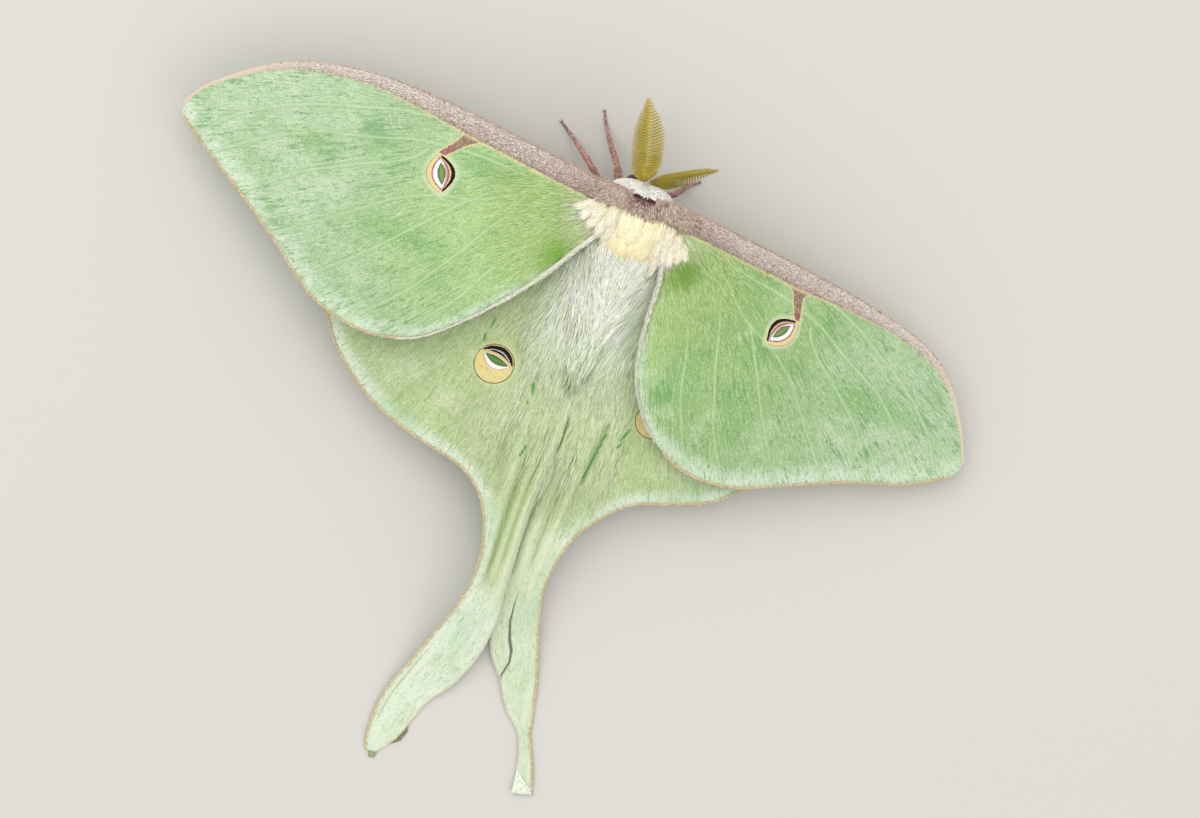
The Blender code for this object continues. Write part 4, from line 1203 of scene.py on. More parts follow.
def leg_radius(share):
    """Return the radius of a leg's shell: thigh, shin and five foot joints."""
    radius = np.interp(share, np.linspace(0, 1, len(LEG_RADII)), LEG_RADII) - 0.2
    for joint, width in ((0.33, 0.025), (0.66, 0.02)):
        radius = radius * (1 - 0.3 * np.exp(-((share - joint) / width) ** 2))
    foot = ease(0.7, 0.74, share)
    return np.maximum(radius * (1 - foot * 0.22 * (0.5 + 0.5 * np.cos(2 * np.pi * (share - 0.72) / 0.056))), 0.07)


def build_leg(name, points):
    """Build one leg's shell: a jointed, tapered limb from the body to the foot."""
    path = smooth_line(points, 90)
    path[:, 2] = np.maximum(path[:, 2], 0.14)
    along = unit(np.gradient(path, axis=0))
    side = unit(np.cross(along, UP))
    radius = leg_radius(np.linspace(0, 1, len(path)))
    bm = bmesh.new()
    loft(bm, [np.maximum(ring, (-99, -99, 0.02)) for ring in tube_rings(path, radius, side, np.cross(side, along), 14)])
    finish = toned_material("Scaled cuticle, pink brown", "", "AA7C70")
    link_piece(name + "_shell", mesh_of(bm, name + "_shell"), finish, (name,))
    return path, along, side


def build_claws(frames):
    """Build the pair of hooked claws on each foot."""
    paths = []
    t = np.linspace(0, 1, 6)
    for path, along, side in frames:
        for half in (-1, 1):
            line = path[-1] + np.outer(0.42 * t, along[-1] * (1, 1, 0) + side[-1] * half * 0.55)
            line[:, 2] = 0.16 + 0.1 * np.sin(np.pi * t * 0.8) - 0.13 * t ** 2
            paths.append(line)
    mesh = strand_mesh("leg_claws", paths, np.full(len(paths), 0.13), 6, 1.0)
    link_piece("leg_claws", mesh, toned_material("Claw horn, glossy brown", "", "3A231A"))


# ---------------------------------------------------------------- coat

# The lie of the long hair seen from above: place, then direction.
LIE = (
    (0, 1, 0, 1), (-3, 1.5, -0.05, 1), (3, 1.5, 0.08, 1), (0, 5, 0, 1), (-4.4, 2, -0.25, 1), (4.4, 2, 0.35, 1),
    (5.2, 1.6, 0.9, 0.55), (-5.2, 2, -0.35, 0.95), (-3.6, 6, 0.1, 1), (3.6, 6, -0.1, 1), (-3.4, 9, 0.42, 0.9),
    (-2.6, 12, 0.5, 0.87), (-1.6, 15, 0.35, 0.93), (-0.5, 17.5, 0.05, 1), (2.6, 8.5, -0.35, 0.93),
    (1.6, 11.5, -0.42, 0.9), (0.6, 14.5, -0.3, 0.95), (-0.2, 9, -0.1, 1), (-4.6, 10, 0.15, 1), (-4, 14, 0.3, 0.95),
    (-3, 18, 0.2, 0.98), (-3.6, 22, -0.02, 1), (-2, 24, 0.03, 1), (-5.5, 18, -0.12, 1), (-7, 22, -0.22, 0.97),
    (-5.5, 26, -0.12, 0.99), (3.6, 11, -0.05, 1), (3, 15, -0.14, 1), (1.8, 20, -0.06, 1), (0.6, 24, -0.02, 1),
    (5, 12, 0.22, 0.97), (7, 14, 0.4, 0.9), (6.5, 19, 0.2, 0.98), (4.5, 20, 0.06, 1), (9.5, 17, 0.42, 0.9),
    (5.5, 27, 0.08, 1), (2.5, 28, 0, 1), (10, 24, 0.2, 0.98),
)


def lie_at(places):
    """Return the unit lie of the long hair at plan places."""
    arrows = np.asarray(LIE)
    gap = ((places[:, None, :] - arrows[None, :, :2]) ** 2).sum(2)
    return unit((1.0 / (gap + 0.4) ** 2) @ arrows[:, 2:])


def scatter(rng, count, low, high):
    """Return plan places spread evenly over a box."""
    side = math.sqrt((high[0] - low[0]) * (high[1] - low[1]) / count)
    columns, rows = max(int((high[0] - low[0]) / side), 1), max(int((high[1] - low[1]) / side), 1)
    gx, gy = np.meshgrid(np.arange(columns), np.arange(rows))
    cells = np.column_stack((gx.ravel(), gy.ravel())) + rng.random((columns * rows, 2))
    return cells / (columns, rows) * (np.array(high) - low) + low


def combed(rng, roots, lengths, steps, stray=0.12, wave=0.1, clump=0.0, clump_gap=0.6, lie=lie_at):
    """Return plan middle lines of hairs that follow the lie of the coat, gathered in locks."""
    turn = rng.normal(0, stray, len(roots))
    sway, phase = rng.normal(0, wave, len(roots)), rng.random(len(roots)) * 6.3
    line = [np.asarray(roots, float)]
    for k in range(steps - 1):
        angle = turn + sway * np.sin(phase + 2.4 * k)
        way = lie(line[-1])
        way = np.column_stack((way[:, 0] * np.cos(angle) - way[:, 1] * np.sin(angle),
                               way[:, 0] * np.sin(angle) + way[:, 1] * np.cos(angle)))
        line.append(line[-1] + way * (lengths / (steps - 1))[:, None])
    lines = np.stack(line, axis=1)
    if clump > 0:
        roots = np.asarray(roots)
        cell = np.floor(roots / clump_gap + 0.31 * np.floor(roots[:, 1:] / clump_gap)).astype(int)
        _, group = np.unique(cell, axis=0, return_inverse=True)
        group = group.ravel()
        pull = np.linspace(0, 1, steps) ** 1.3 * clump
        for step in range(1, steps):
            sums = np.zeros((group.max() + 1, 2))
            np.add.at(sums, group, lines[:, step])
            middle = sums / np.bincount(group)[:, None]
            lines[:, step] += (middle[group] - lines[:, step]) * pull[step]
    return lines


def lay_down(ground, lines, lifts):
    """Return the hairs' places on the surfaces under them, lifted off by lifts."""
    count, steps, _ = lines.shape
    heights = ground.top(lines.reshape(-1, 2)).reshape(count, steps)
    eased = heights.copy()
    for k in range(1, steps - 1):
        eased[:, k] = np.maximum(heights[:, k], (heights[:, k - 1] + heights[:, k + 1]) / 2)
    return np.dstack((lines, eased + lifts))


def unrolled(roots, dome=None):
    """Return where roots lie on the body's skin unrolled about its long axis; a dome's front opens from its centre."""
    axis = np.interp(roots[:, 1], [station[0] for station in TRUNK], [station[1] for station in TRUNK])
    angle, out = np.arctan2(roots[:, 0], roots[:, 2] - axis), np.hypot(roots[:, 0], roots[:, 2] - axis)
    return np.column_stack((angle, roots[:, 1] if dome is None else np.arctan2(roots[:, 1] - dome, out)))


def add_coat(name, rng, paths, widths, material, ups=UP, flat=0.4, tints=None, unwrap=None):
    """Make one piece of coat from its hairs' middle lines; unwrap holds the roots' places on the unwrapped skin."""
    tints = rng.random(len(paths)) if tints is None else np.clip(tints, 0, 1)
    if unwrap is None:  # a wing is a flat sheet, so that its plan is its unwrap
        unwrap = paths[:, 0, :2]
    patches = 0.01 + 0.98 * (unwrap - unwrap.min(axis=0)) / np.ptp(unwrap, axis=0)
    link_piece(name, strand_mesh(name, paths, widths, 3, flat, ups, tints, patches), material)


def crawl(rng, roots, lie, lengths, lifts, stray):
    """Return hairs that creep over the body's skin, and its outward directions along them."""
    ground, steps = Ground("body_skin"), lifts.shape[1]
    place, normal = ground.nearest(roots)
    line, ups = [place + normal * lifts[:, :1]], [normal]
    for k in range(1, steps):
        way = lie(place)
        way = unit(way - normal * (way * normal).sum(1, keepdims=True), 1e-9)
        place, normal = ground.nearest(place + way * (lengths / (steps - 1))[:, None])
        line.append(place + normal * lifts[:, k:k + 1])
        ups.append(normal)
    loose = rng.normal(0, stray, (len(roots), 1, 3)) * np.linspace(0, 1, steps)[None, :, None]
    return np.stack(line, axis=1) + loose, np.stack(ups, axis=1)


def skin_roots(rng, count, keep):
    """Return places spread over the body's skin, with only those that keep() allows."""
    mesh = bpy.data.objects["body_skin"].data
    mesh.calc_loop_triangles()
    corners = np.zeros(len(mesh.vertices) * 3)
    mesh.vertices.foreach_get("co", corners)
    corners = (corners.reshape(-1, 3) - SHIFT) / MM
    triangles = np.zeros(len(mesh.loop_triangles) * 3, int)
    mesh.loop_triangles.foreach_get("vertices", triangles)
    a, b, c = (corners[triangles.reshape(-1, 3)[:, k]] for k in range(3))
    middle = (a + b + c) / 3
    allowed = np.flatnonzero(keep(middle))
    area = np.linalg.norm(np.cross(b - a, c - a), axis=1)[allowed]
    chosen = allowed[rng.choice(len(allowed), count, p=area / area.sum())]
    s, t = rng.random((2, count, 1))
    flip = (s + t) > 1
    s, t = np.where(flip, 1 - s, s), np.where(flip, 1 - t, t)
    return a[chosen] + s * (b[chosen] - a[chosen]) + t * (c[chosen] - a[chosen])


def build_belly_coat():
    """Cover the flanks, belly and abdomen with short woolly hair."""
    rng = np.random.default_rng(SEED + 1)
    roots = skin_roots(rng, amount(5200), lambda p: (p[:, 1] > -1.6) & ((p[:, 2] < 9.8) | (p[:, 1] > 6)))
    count = len(roots)
    lengths = rng.uniform(1.1, 2.0, count)
    lifts = np.array((0.0, 0.16, 0.26, 0.32)) * rng.uniform(0.6, 1.5, (count, 1))
    paths, ups = crawl(rng, roots, lambda place: place * 0 + (0, 1, -0.25), lengths, lifts, 0.05)
    tints = rng.random(count) * 0.7 + 0.3 * ease(0, 9, roots[:, 1])
    add_coat("belly_wool", rng, paths, rng.uniform(0.16, 0.3, count),
             coat_material("Wool hair, cream white", "A8997C", "D9CFB2", "EDE8D6", "F4F3EA"), ups,
             tints=tints, unwrap=unrolled(roots))


def build_crest():
    """Cover the head's crest, face and palps with short white down."""
    rng = np.random.default_rng(SEED + 2)

    def keep(p):
        """The face in front of the collar's parting, and not the eyes."""
        off_eye = np.linalg.norm(np.abs(p * (1, 0, 0)) + p * (0, 1, 1) - EYE_CENTRE, axis=1) > 1.02
        return (p[:, 1] < -1.2 - 0.35 * bell(p[:, 0] - 0.2, 1.5)) & off_eye

    def lie(place):
        """From the middle of the brow outward and back on top, forward and down on the face."""
        top = ease(7.5, 10.5, place[:, 2])[:, None]
        return (place * (0.6, 0, 0) + (0, 0.12, 0.1)) * top + (place * (0.15, 0, 0) - (0, 0.4, 1)) * (1 - top)

    roots = skin_roots(rng, amount(6500), keep)
    count = len(roots)
    top = ease(8.0, 10.0, roots[:, 2])
    lengths = rng.uniform(0.3, 0.5, count) + 0.25 * top * ease(-2.4, -1.8, roots[:, 1])
    lifts = np.array((0.0, 0.1, 0.17, 0.15)) * (0.5 + 0.35 * top[:, None]) * rng.uniform(0.7, 1.3, (count, 1))
    paths, ups = crawl(rng, roots, lie, lengths, lifts, 0.03)
    low = (roots[:, 2] < 7.3) | (roots[:, 1] < -2.5)
    tints = np.where(low, rng.random(count) * 0.3, 0.5 + 0.5 * rng.random(count))
    add_coat("crest_down", rng, paths, rng.uniform(0.1, 0.17, count),
             coat_material("Down, white", "EBDED4", "F7F4EA", "FCFBF2", "FDFDF6", "FFFFFA", sheen=0.3), ups,
             tints=tints, unwrap=unrolled(roots, HEAD_MIDDLE))


def lie_band(places):
    """Return the lie of the fur on the roots of the front edges: outward and back."""
    x = places[:, 0]
    return unit(np.column_stack((np.sign(x) * ease(1.5, 5.0, np.abs(x)) * 1.1, np.full(len(x), 0.8))))


def build_collar():
    """Cover the collar with dense mauve brown hair that points back, parted at the front."""
    rng = np.random.default_rng(SEED + 3)

    def lie(place):
        """Back, with a slight wave."""
        x = place[:, 0]
        return np.column_stack((0.05 * x + 0.12 * np.sin(x * 2.1), 0 * x + 1, 0 * x - 0.05))

    roots = skin_roots(rng, amount(5600), lambda p: (p[:, 1] > -1.75) & (p[:, 1] < 0.75) & (p[:, 2] > 6.5))
    roots = roots[~((np.abs(roots[:, 0] - 0.2) < 1.3) & (roots[:, 1] < -1.0) & (roots[:, 2] > 9))]
    count = len(roots)
    lengths = rng.uniform(0.7, 1.15, count)
    lifts = np.array((0.05, 0.3, 0.42, 0.4)) * rng.uniform(0.75, 1.35, (count, 1))
    paths, ups = crawl(rng, roots, lie, lengths, lifts, 0.07)
    # Hair next to the parting is painted darker: its red-brown deepened as painted shade in the gap.
    near_slot = bell(np.hypot((roots[:, 0] - 0.2) / 1.3, (roots[:, 1] + 0.95) / 0.2), 1) * (roots[:, 2] > 9)
    fur = coat_material("Collar hair, mauve brown", "6E4238", "AC8E80", "C4A898", "D6C2B2", "EEE4DA")
    tints = 0.25 + 0.75 * rng.random(count) - 0.6 * near_slot
    add_coat("collar_fur", rng, paths, rng.uniform(0.1, 0.18, count), fur, ups, tints=tints,
             unwrap=unrolled(roots))
    # The same fur runs out over the roots of the front edges, so that collar and edges are one band.
    drape = Drape((-8.0, -3.0), (8.0, 3.0), 0.8, "body_skin", *FOREWING_SHEETS)
    roots = scatter(rng, amount(6500), (-7.2, -2.0), (7.2, 1.2))
    out = np.abs(roots[:, 0])
    middle = np.where(roots[:, 0] > 0, -0.16 - 0.09 * (out - 2.6), -0.72 + 0.1 * (out - 2.6))
    band = np.abs(roots[:, 1] - np.where(out > 2.6, middle, -0.2)) < 1.05
    roots = roots[band & (out > 1.9) & (rng.random(len(roots)) < ease(7.2, 3.6, out))]
    count = len(roots)
    lines = combed(rng, roots, rng.uniform(0.6, 1.0, count), 4, stray=0.3, wave=0.1, lie=lie_band)
    paths = lay_down(drape, lines, np.array((0.0, 0.14, 0.2, 0.16)) * rng.uniform(0.6, 1.3, (count, 1)))
    add_coat("collar_side_fur", rng, paths, rng.uniform(0.09, 0.16, count), fur,
             tints=0.2 + 0.8 * rng.random(count), unwrap=unrolled(paths[:, 0]))


# Locks of the thorax seen from above: root, tip, half width, height of the pillow.
MAIN_LOCKS = (
    ((-2.7, 0.6), (-2.75, 5.9), 0.75, 0.42), ((-1.9, 0.6), (-1.95, 6.7), 0.85, 0.5),
    ((-1.1, 0.6), (-1.15, 6.3), 0.8, 0.48), ((0, 0.6), (-0.05, 6.6), 0.85, 0.5), ((0.9, 0.6), (0.95, 6.95), 0.9, 0.5),
    ((1.9, 0.6), (1.9, 6.3), 0.8, 0.42), ((-2.2, 0.5), (-2.2, 4.4), 1, 0.62), ((-1.3, 0.5), (-1.4, 4.9), 0.9, 0.66),
    ((0.35, 0.5), (0.4, 5.1), 1, 0.68), ((1.4, 0.5), (1.6, 4.5), 0.9, 0.62),
)
SIDE_LOCKS = (
    ((2.6, 0.6), (3.1, 5.6), 0.55, 0.55), ((3.3, 0.7), (4.3, 5), 0.55, 0.55), ((4, 0.8), (5.6, 4.3), 0.55, 0.5),
    ((4.7, 0.9), (6.9, 3.4), 0.5, 0.35), ((5.2, 0.9), (7.9, 2.4), 0.45, 0.25), ((3, 0.6), (3.5, 3.6), 0.7, 0.8),
    ((4.2, 0.9), (5.5, 2.7), 0.6, 0.5), ((-3.2, 0.7), (-3.3, 5.4), 0.5, 0.55), ((-3.9, 0.9), (-4.1, 5.8), 0.5, 0.55),
    ((-4.5, 1.2), (-5, 5.6), 0.5, 0.45), ((-5, 1.6), (-6, 4.9), 0.45, 0.35), ((-5.4, 2), (-7, 4.2), 0.4, 0.25),
    ((-3.7, 0.7), (-3.9, 3.6), 0.65, 0.8), ((-4.7, 1.2), (-5.4, 3.4), 0.5, 0.5),
    ((-0.9, 4.6), (-1.2, 8.3), 0.55, 0.3), ((0.5, 4.8), (0.2, 9.2), 0.6, 0.3), ((-2.1, 4.6), (-2.5, 7.9), 0.5, 0.3),
    ((1.7, 4.6), (1.5, 7.9), 0.5, 0.3), ((2.8, 3.6), (2.9, 7.4), 0.45, 0.35), ((-3.4, 3.6), (-3.5, 7.4), 0.45, 0.35),
)


def lock_strands(rng, ground, locks, per_width, loose):
    """Return the hairs of overlapping locks, with where each starts, ends and lies across its lock."""
    steps = 5
    t = np.linspace(0, 1, steps)
    paths, starts, ends, sides = [], [], [], []
    for root, tip, half, height in locks:
        root, tip = np.array(root), np.array(tip)
        way = tip - root
        size = np.hypot(*way)
        side = np.array((-way[1], way[0])) / size
        count = amount(per_width * half * size / 5)
        offset = rng.uniform(-1, 1, count)
        start = rng.random(count) * 0.66
        end = start + rng.uniform(0.34, 0.6, count)
        end = np.minimum(end, 1.0 - 0.16 * np.abs(offset) ** 3 + rng.normal(0, loose, count))
        share = start[:, None] + (end - start)[:, None] * t
        spread = half * (0.95 + 0.2 * np.sin(np.pi * share) - 0.12 * ease(0.6, 1.0, share))
        waver = 0.06 * np.sin(share * 7 + rng.random((count, 1)) * 6.3) + 0.05 * np.sin(share * 11 + root[0] * 5)
        line = root + way * share[..., None] + side * (offset[:, None] * spread + waver)[..., None]
        pillow = height * (1 - 0.6 * np.abs(offset[:, None]) ** 2.5)
        pillow = pillow * (0.45 + 0.55 * np.sin(np.pi * np.clip(share, 0.02, 0.95)) ** 0.8)
        shingle = 0.05 + 0.1 * t - 0.1 * t ** 4
        lifts = pillow + shingle * rng.uniform(0.6, 1.4, (count, 1))
        paths.append(lay_down(ground, line, lifts))
        paths[-1][:, 0, 2] -= 0.12
        starts.append(start)
        ends.append(end)
        sides.append(np.abs(offset))
    return (np.concatenate(kept) for kept in (paths, starts, ends, sides))


def build_locks():
    """Lay the cream locks over the thorax, overlapping like shingles, and the paler tufts beside them."""
    rng = np.random.default_rng(SEED + 4)
    ground = Drape((-10.0, -1.0), (10.0, 12.0), 0.6, "body_skin", *FOREWING_SHEETS)
    paths, starts, ends, sides = lock_strands(rng, ground, MAIN_LOCKS, 650, 0.02)
    # Locks turn ochre at their ends; their edges are painted darker, partly their ochre tint and partly painted shade
    # in the slits between the locks.
    tints = 0.45 + 0.55 * rng.random(len(paths)) - 0.3 * ease(0.93, 0.99, ends) - 0.45 * ease(0.86, 1.0, sides)
    add_coat("thorax_locks", rng, paths, rng.uniform(0.11, 0.2, len(paths)),
             coat_material("Locks of hair, cream yellow", "CFAF6C", "EAD69A", "F6ECC0", "F9F2CE", "FAF6DC"),
             tints=tints, flat=0.35, unwrap=unrolled(paths[:, 0]))
    paths, starts, ends, sides = lock_strands(rng, ground, SIDE_LOCKS, 920, 0.1)
    tints = np.clip(0.1 + rng.random(len(paths)) * 0.7 + 0.3 * starts, 0, 1)
    add_coat("thorax_side_tufts", rng, paths, rng.uniform(0.07, 0.14, len(paths)),
             coat_material("Tufts of hair, cream to white", "DCCB94", "F0E3B6", "F6EFCE", "F7F5E6", "FAFAF5",
                           tip_tone="F6F6EC"),
             tints=tints, flat=0.35, unwrap=unrolled(paths[:, 0]))


def build_back_hair():
    """Lay the long white hair of the back, which closes in a V over the abdomen."""
    rng = np.random.default_rng(SEED + 5)
    ground = Drape((-8.0, 3.0), (8.0, 30.0), 0.45, "body_skin", *HINDWING_SHEETS)
    steps = 5
    t = np.linspace(0, 1, steps)[None]
    silk = coat_material("Silky hair, white", "B2C69A", "DCE7C6", "F3F7E6", "FBFCF4", "FFFFFA", sheen=0.2)
    for name, number, low, high, longest in (
            ("back_hair", 5400, (-5.0, 4.4), (4.6, 12.0), 5.4), ("abdomen_hair", 4200, (-3.9, 11.0), (3.4, 19.0), 6.5)):
        roots = scatter(rng, amount(number), low, high)
        roots = roots[np.abs(roots[:, 0] + 0.3) < 5.4 - 0.34 * (roots[:, 1] - 5) + rng.normal(0, 0.4, len(roots))]
        lengths = rng.uniform(0.5, 1.0, len(roots)) * longest
        lines = combed(rng, roots, lengths, steps, stray=0.14, wave=0.22, clump=0.72, clump_gap=1.25)
        lifts = 0.04 + rng.uniform(0.1, 0.6, (len(roots), 1)) * np.sin(np.pi * t * 0.9)
        # Whole clumps are painted lighter or darker in patches, as painted highlights and painted shade on the locks;
        # the hair also turns darker and greener over the abdomen.
        clump_light_shade = np.sin(3.1 * roots[:, 0] + 1.3 * roots[:, 1]) * np.sin(1.7 * roots[:, 0] - 1.9 * roots[:, 1])
        tints = np.clip(0.32 + 0.62 * rng.random(len(roots)) + 0.34 * clump_light_shade - 0.4 * ease(10.0, 18.0, roots[:, 1]), 0, 1)
        paths = lay_down(ground, lines, lifts)
        add_coat(name, rng, paths, rng.uniform(0.1, 0.22, len(roots)), silk,
                 tints=tints, flat=0.35, unwrap=unrolled(paths[:, 0]))


def build_hindwing_hair(side):
    """Lay long fine hair from the root of a hindwing over its inner half."""
    rng = np.random.default_rng(SEED + (6 if side == "left" else 7))
    sign = SIDES[side]
    low, high = ((-1.6, 6.0), (12.0, 36.0)) if side == "left" else ((-9.5, 6.0), (-0.4, 38.0))
    ground = Drape(low, (high[0], high[1] + 8), 0.3, *HINDWING_SHEETS, "body_skin")
    chords = np.asarray(HINDWINGS[side]["chords"][:16])
    border = outline(chords, sign, 0.8)
    roots = scatter(rng, amount(11500), low, high)
    out = np.abs(roots[:, 0] - 1.0 * sign)
    thin = ease(9.0, 3.5, out - 0.12 * (roots[:, 1] - 15)) * ease(38.0, 20.0, roots[:, 1])
    roots = roots[inside(roots, border) & (rng.random(len(roots)) < 0.06 + 0.95 * thin)]
    near = ease(26.0, 12.0, roots[:, 1]) * ease(7.5, 3.5, np.abs(roots[:, 0] - 0.5 * sign))
    lengths = rng.uniform(1.4, 2.8, len(roots)) + 2.6 * near
    steps = 4
    t = np.linspace(0, 1, steps)[None]
    lines = combed(rng, roots, lengths, steps, stray=0.06, wave=0.06, clump=0.35, clump_gap=0.7)
    spot = np.array(HINDWINGS[side]["eyespot"][:2]) + (0.0, 0.5)
    clear = (np.linalg.norm(lines * (sign, 1.0) - spot, axis=2) > 2.7).all(axis=1)
    for mark in STREAKS[side]:
        off = line_distance(lines.reshape(-1, 2) * (sign, 1.0), mark)[0].reshape(lines.shape[:2])
        clear &= (off > 0.3).all(axis=1)
    clear &= inside(lines.reshape(-1, 2), border).reshape(lines.shape[:2]).all(axis=1)
    roots, lines, near = roots[clear], lines[clear], near[clear]
    lifts = 0.02 + (0.025 + 0.3 * near[:, None]) * np.sin(np.pi * t * 0.9) * rng.uniform(0.3, 1.2, (len(roots), 1))
    tints = np.clip(0.1 + 0.5 * rng.random(len(roots)) + 0.45 * near, 0, 1)
    add_coat("hindwing_%s_hair" % side, rng, lay_down(ground, lines, lifts),
             0.06 + 0.07 * rng.random(len(roots)) * (0.6 + near),
             coat_material("Silky hair, pale green", "B4CE96", "CCDCA8", "DCE8C0", "EEF4E0", "F8FAF4", sheen=0.25),
             tints=tints, flat=0.35)


def build_forewing_hair(side):
    """Lay short fuzz over the root of a forewing and wool along its inner margin."""
    rng = np.random.default_rng(SEED + (8 if side == "left" else 9))
    wing, sign = FOREWINGS[side], SIDES[side]
    ground = Ground("forewing_%s_membrane" % side)
    chords = wing["chords"]
    border = outline(chords, sign)
    fan = turned(((-1.0, -2.5),), wing["turn"])[0] * (sign, 1.0)

    def lie(places):
        """Away from a place near the wing's root, like a fan."""
        return unit(places - fan)

    low, high = ((3.5, 0.3), (17.0, 13.0)) if sign > 0 else ((-17.0, 1.2), (-3.5, 16.0))
    roots = scatter(rng, amount(5200), low, high)
    lead = rail(chords, 0, 200) * (sign, 1.0)
    far = line_distance(roots, lead)[0]
    reach = np.hypot(roots[:, 0] - 4.5 * sign, roots[:, 1] - 2.0)
    keep = inside(roots, border) & (far > 2.6) & (rng.random(len(roots)) < ease(15.0, 5.0, reach))
    roots = roots[keep]
    reach = reach[keep]
    lengths = rng.uniform(0.9, 1.5, len(roots)) + 0.8 * ease(7, 2, reach)
    t = np.linspace(0, 1, 4)[None]
    lines = combed(rng, roots, lengths, 4, stray=0.12, wave=0.08, clump=0.3, clump_gap=0.8, lie=lie)
    lifts = rng.uniform(0.4, 1.3, (len(roots), 1)) * (1 + 5 * ease(6, 2, reach))[:, None]
    lifts = 0.03 + 0.03 * np.sin(np.pi * t * 0.7) * lifts
    away = np.hypot(*(roots * (sign, 1.0) - BRIGHT_PLACES[side]).T)
    tints = 0.12 + rng.random(len(roots)) * 0.6 + 0.4 * ease(5, 1.0, reach) - 0.9 * bell(away, 1.6)
    add_coat("forewing_%s_fuzz" % side, rng, lay_down(ground, lines, lifts), rng.uniform(0.05, 0.09, len(roots)),
             coat_material("Fuzz, yellow green", "94C648", "B8DA80", "D2EA9E", "E4F2C0", "F6F6E0", sheen=0.25),
             tints=tints, flat=0.35)
    trail = rail(chords, 2, 400)
    size = run_along(trail)
    number = amount(2400)
    place = rng.random(number) ** 1.25 * size[int(0.42 * len(size))]
    spot = at_run(trail, size, place)
    ahead = unit(at_run(trail, size, place + 0.8) - spot)
    outward = np.column_stack((-ahead[:, 1], ahead[:, 0]))
    inner_side = -0.34 * rng.random(number)[:, None] + 0.08
    start = spot + outward * inner_side * ease(25, 3, place)[:, None]
    fade = ease(24.0, 6.0, place)
    length = 0.8 + 0.9 * fade * rng.random(number)
    way = ahead + outward * rng.normal(0.04, 0.09, number)[:, None]
    line = start[:, None] + way[:, None] * (length[:, None] * np.linspace(0, 1, 4)[None])[..., None]
    edge = 1 - np.clip(np.abs(-inner_side[:, 0] - 0.2) / 0.45, 0, 1)
    heights = ground.top((spot - outward * 0.35) * (sign, 1.0))[:, None] + 0.06 * t
    lifts = 0.03 + (0.05 + 0.2 * edge[:, None] * fade[:, None]) * np.sin(np.pi * t * 0.8)
    paths = np.dstack((line * (sign, 1.0), heights + lifts))
    add_coat("forewing_%s_margin_wool" % side, rng, paths, rng.uniform(0.07, 0.13, number),
             coat_material("Margin wool, cream white", "E4E2C6", "F2F0DA", "F8F7EA", "FCFCF8", sheen=0.25),
             flat=0.5,
             unwrap=np.column_stack((place, inner_side)))


def build_fringe(name, chords, column, sign, under, first, last, count, length, material, rng):
    """Set a fringe of short scales along one rail of a wing."""
    edge = rail(chords, column, 900)
    size = run_along(edge)
    place = np.sort(rng.uniform(first, last, count)) * size[-1]
    spot = at_run(edge, size, place)
    ahead = at_run(edge, size, np.minimum(place + 0.3, size[-1]))
    behind = at_run(edge, size, np.maximum(place - 0.3, 0))
    way = unit(ahead - behind)
    outward = np.column_stack((-way[:, 1], way[:, 0])) * (1 if column == 2 else -1)
    ground = Ground(under)
    heights = ground.top((spot - outward * 0.25) * (sign, 1.0))
    teeth = 1 + 0.15 * np.sin(place * 2 * np.pi / 1.15) * np.sin(place * 1.7)
    reach = length * teeth * rng.uniform(0.8, 1.15, count)
    lean = outward + way * rng.normal(0, 0.28, count)[:, None]
    t = np.linspace(0, 1, 3)
    depth = rng.uniform(0.05, 0.28, count)[:, None]
    start = spot - outward * depth
    line = start[:, None] + lean[:, None] * (reach[:, None] * t)[..., None]
    z = heights[:, None] + 0.02 + rng.uniform(-0.08, 0.05, (count, 1)) - 0.08 * t[None] ** 2
    paths = np.dstack((line * (sign, 1.0), z))
    add_coat(name, rng, paths, rng.uniform(0.078, 0.132, count), material, flat=0.3,
             unwrap=np.column_stack((place, depth)))


def build_fringes():
    """Set the ochre cream fringes along the outer margins of the four wings and the tails."""
    rng = np.random.default_rng(SEED + 10)
    ochre = coat_material("Margin scales, ochre cream", "CDB47A", "DECA98", "EADDB8", "F3ECD6")
    cream = coat_material("Margin scales, cream", "D0CFA8", "E4E4C6", "EFEFDA", "F6F6EA")
    length = bpy.context.scene.moth_wings.fringe / MM
    for side, sign in SIDES.items():
        fore, hind = FOREWINGS[side]["chords"], HINDWINGS[side]["chords"]
        build_fringe("forewing_%s_fringe" % side, fore, 2, sign, "forewing_%s_membrane" % side, 0.42, 1.0,
                     2900, length, ochre, rng)
        build_fringe("hindwing_%s_fringe" % side, hind, 0, sign, "hindwing_%s_membrane" % side, 0.2, 1.0,
                     4600, length, ochre, rng)
        build_fringe("hindwing_%s_inner_fringe" % side, hind, 2, sign, "hindwing_%s_membrane" % side, 0.3, 1.0,
                     2600, length * 0.55, cream, rng)


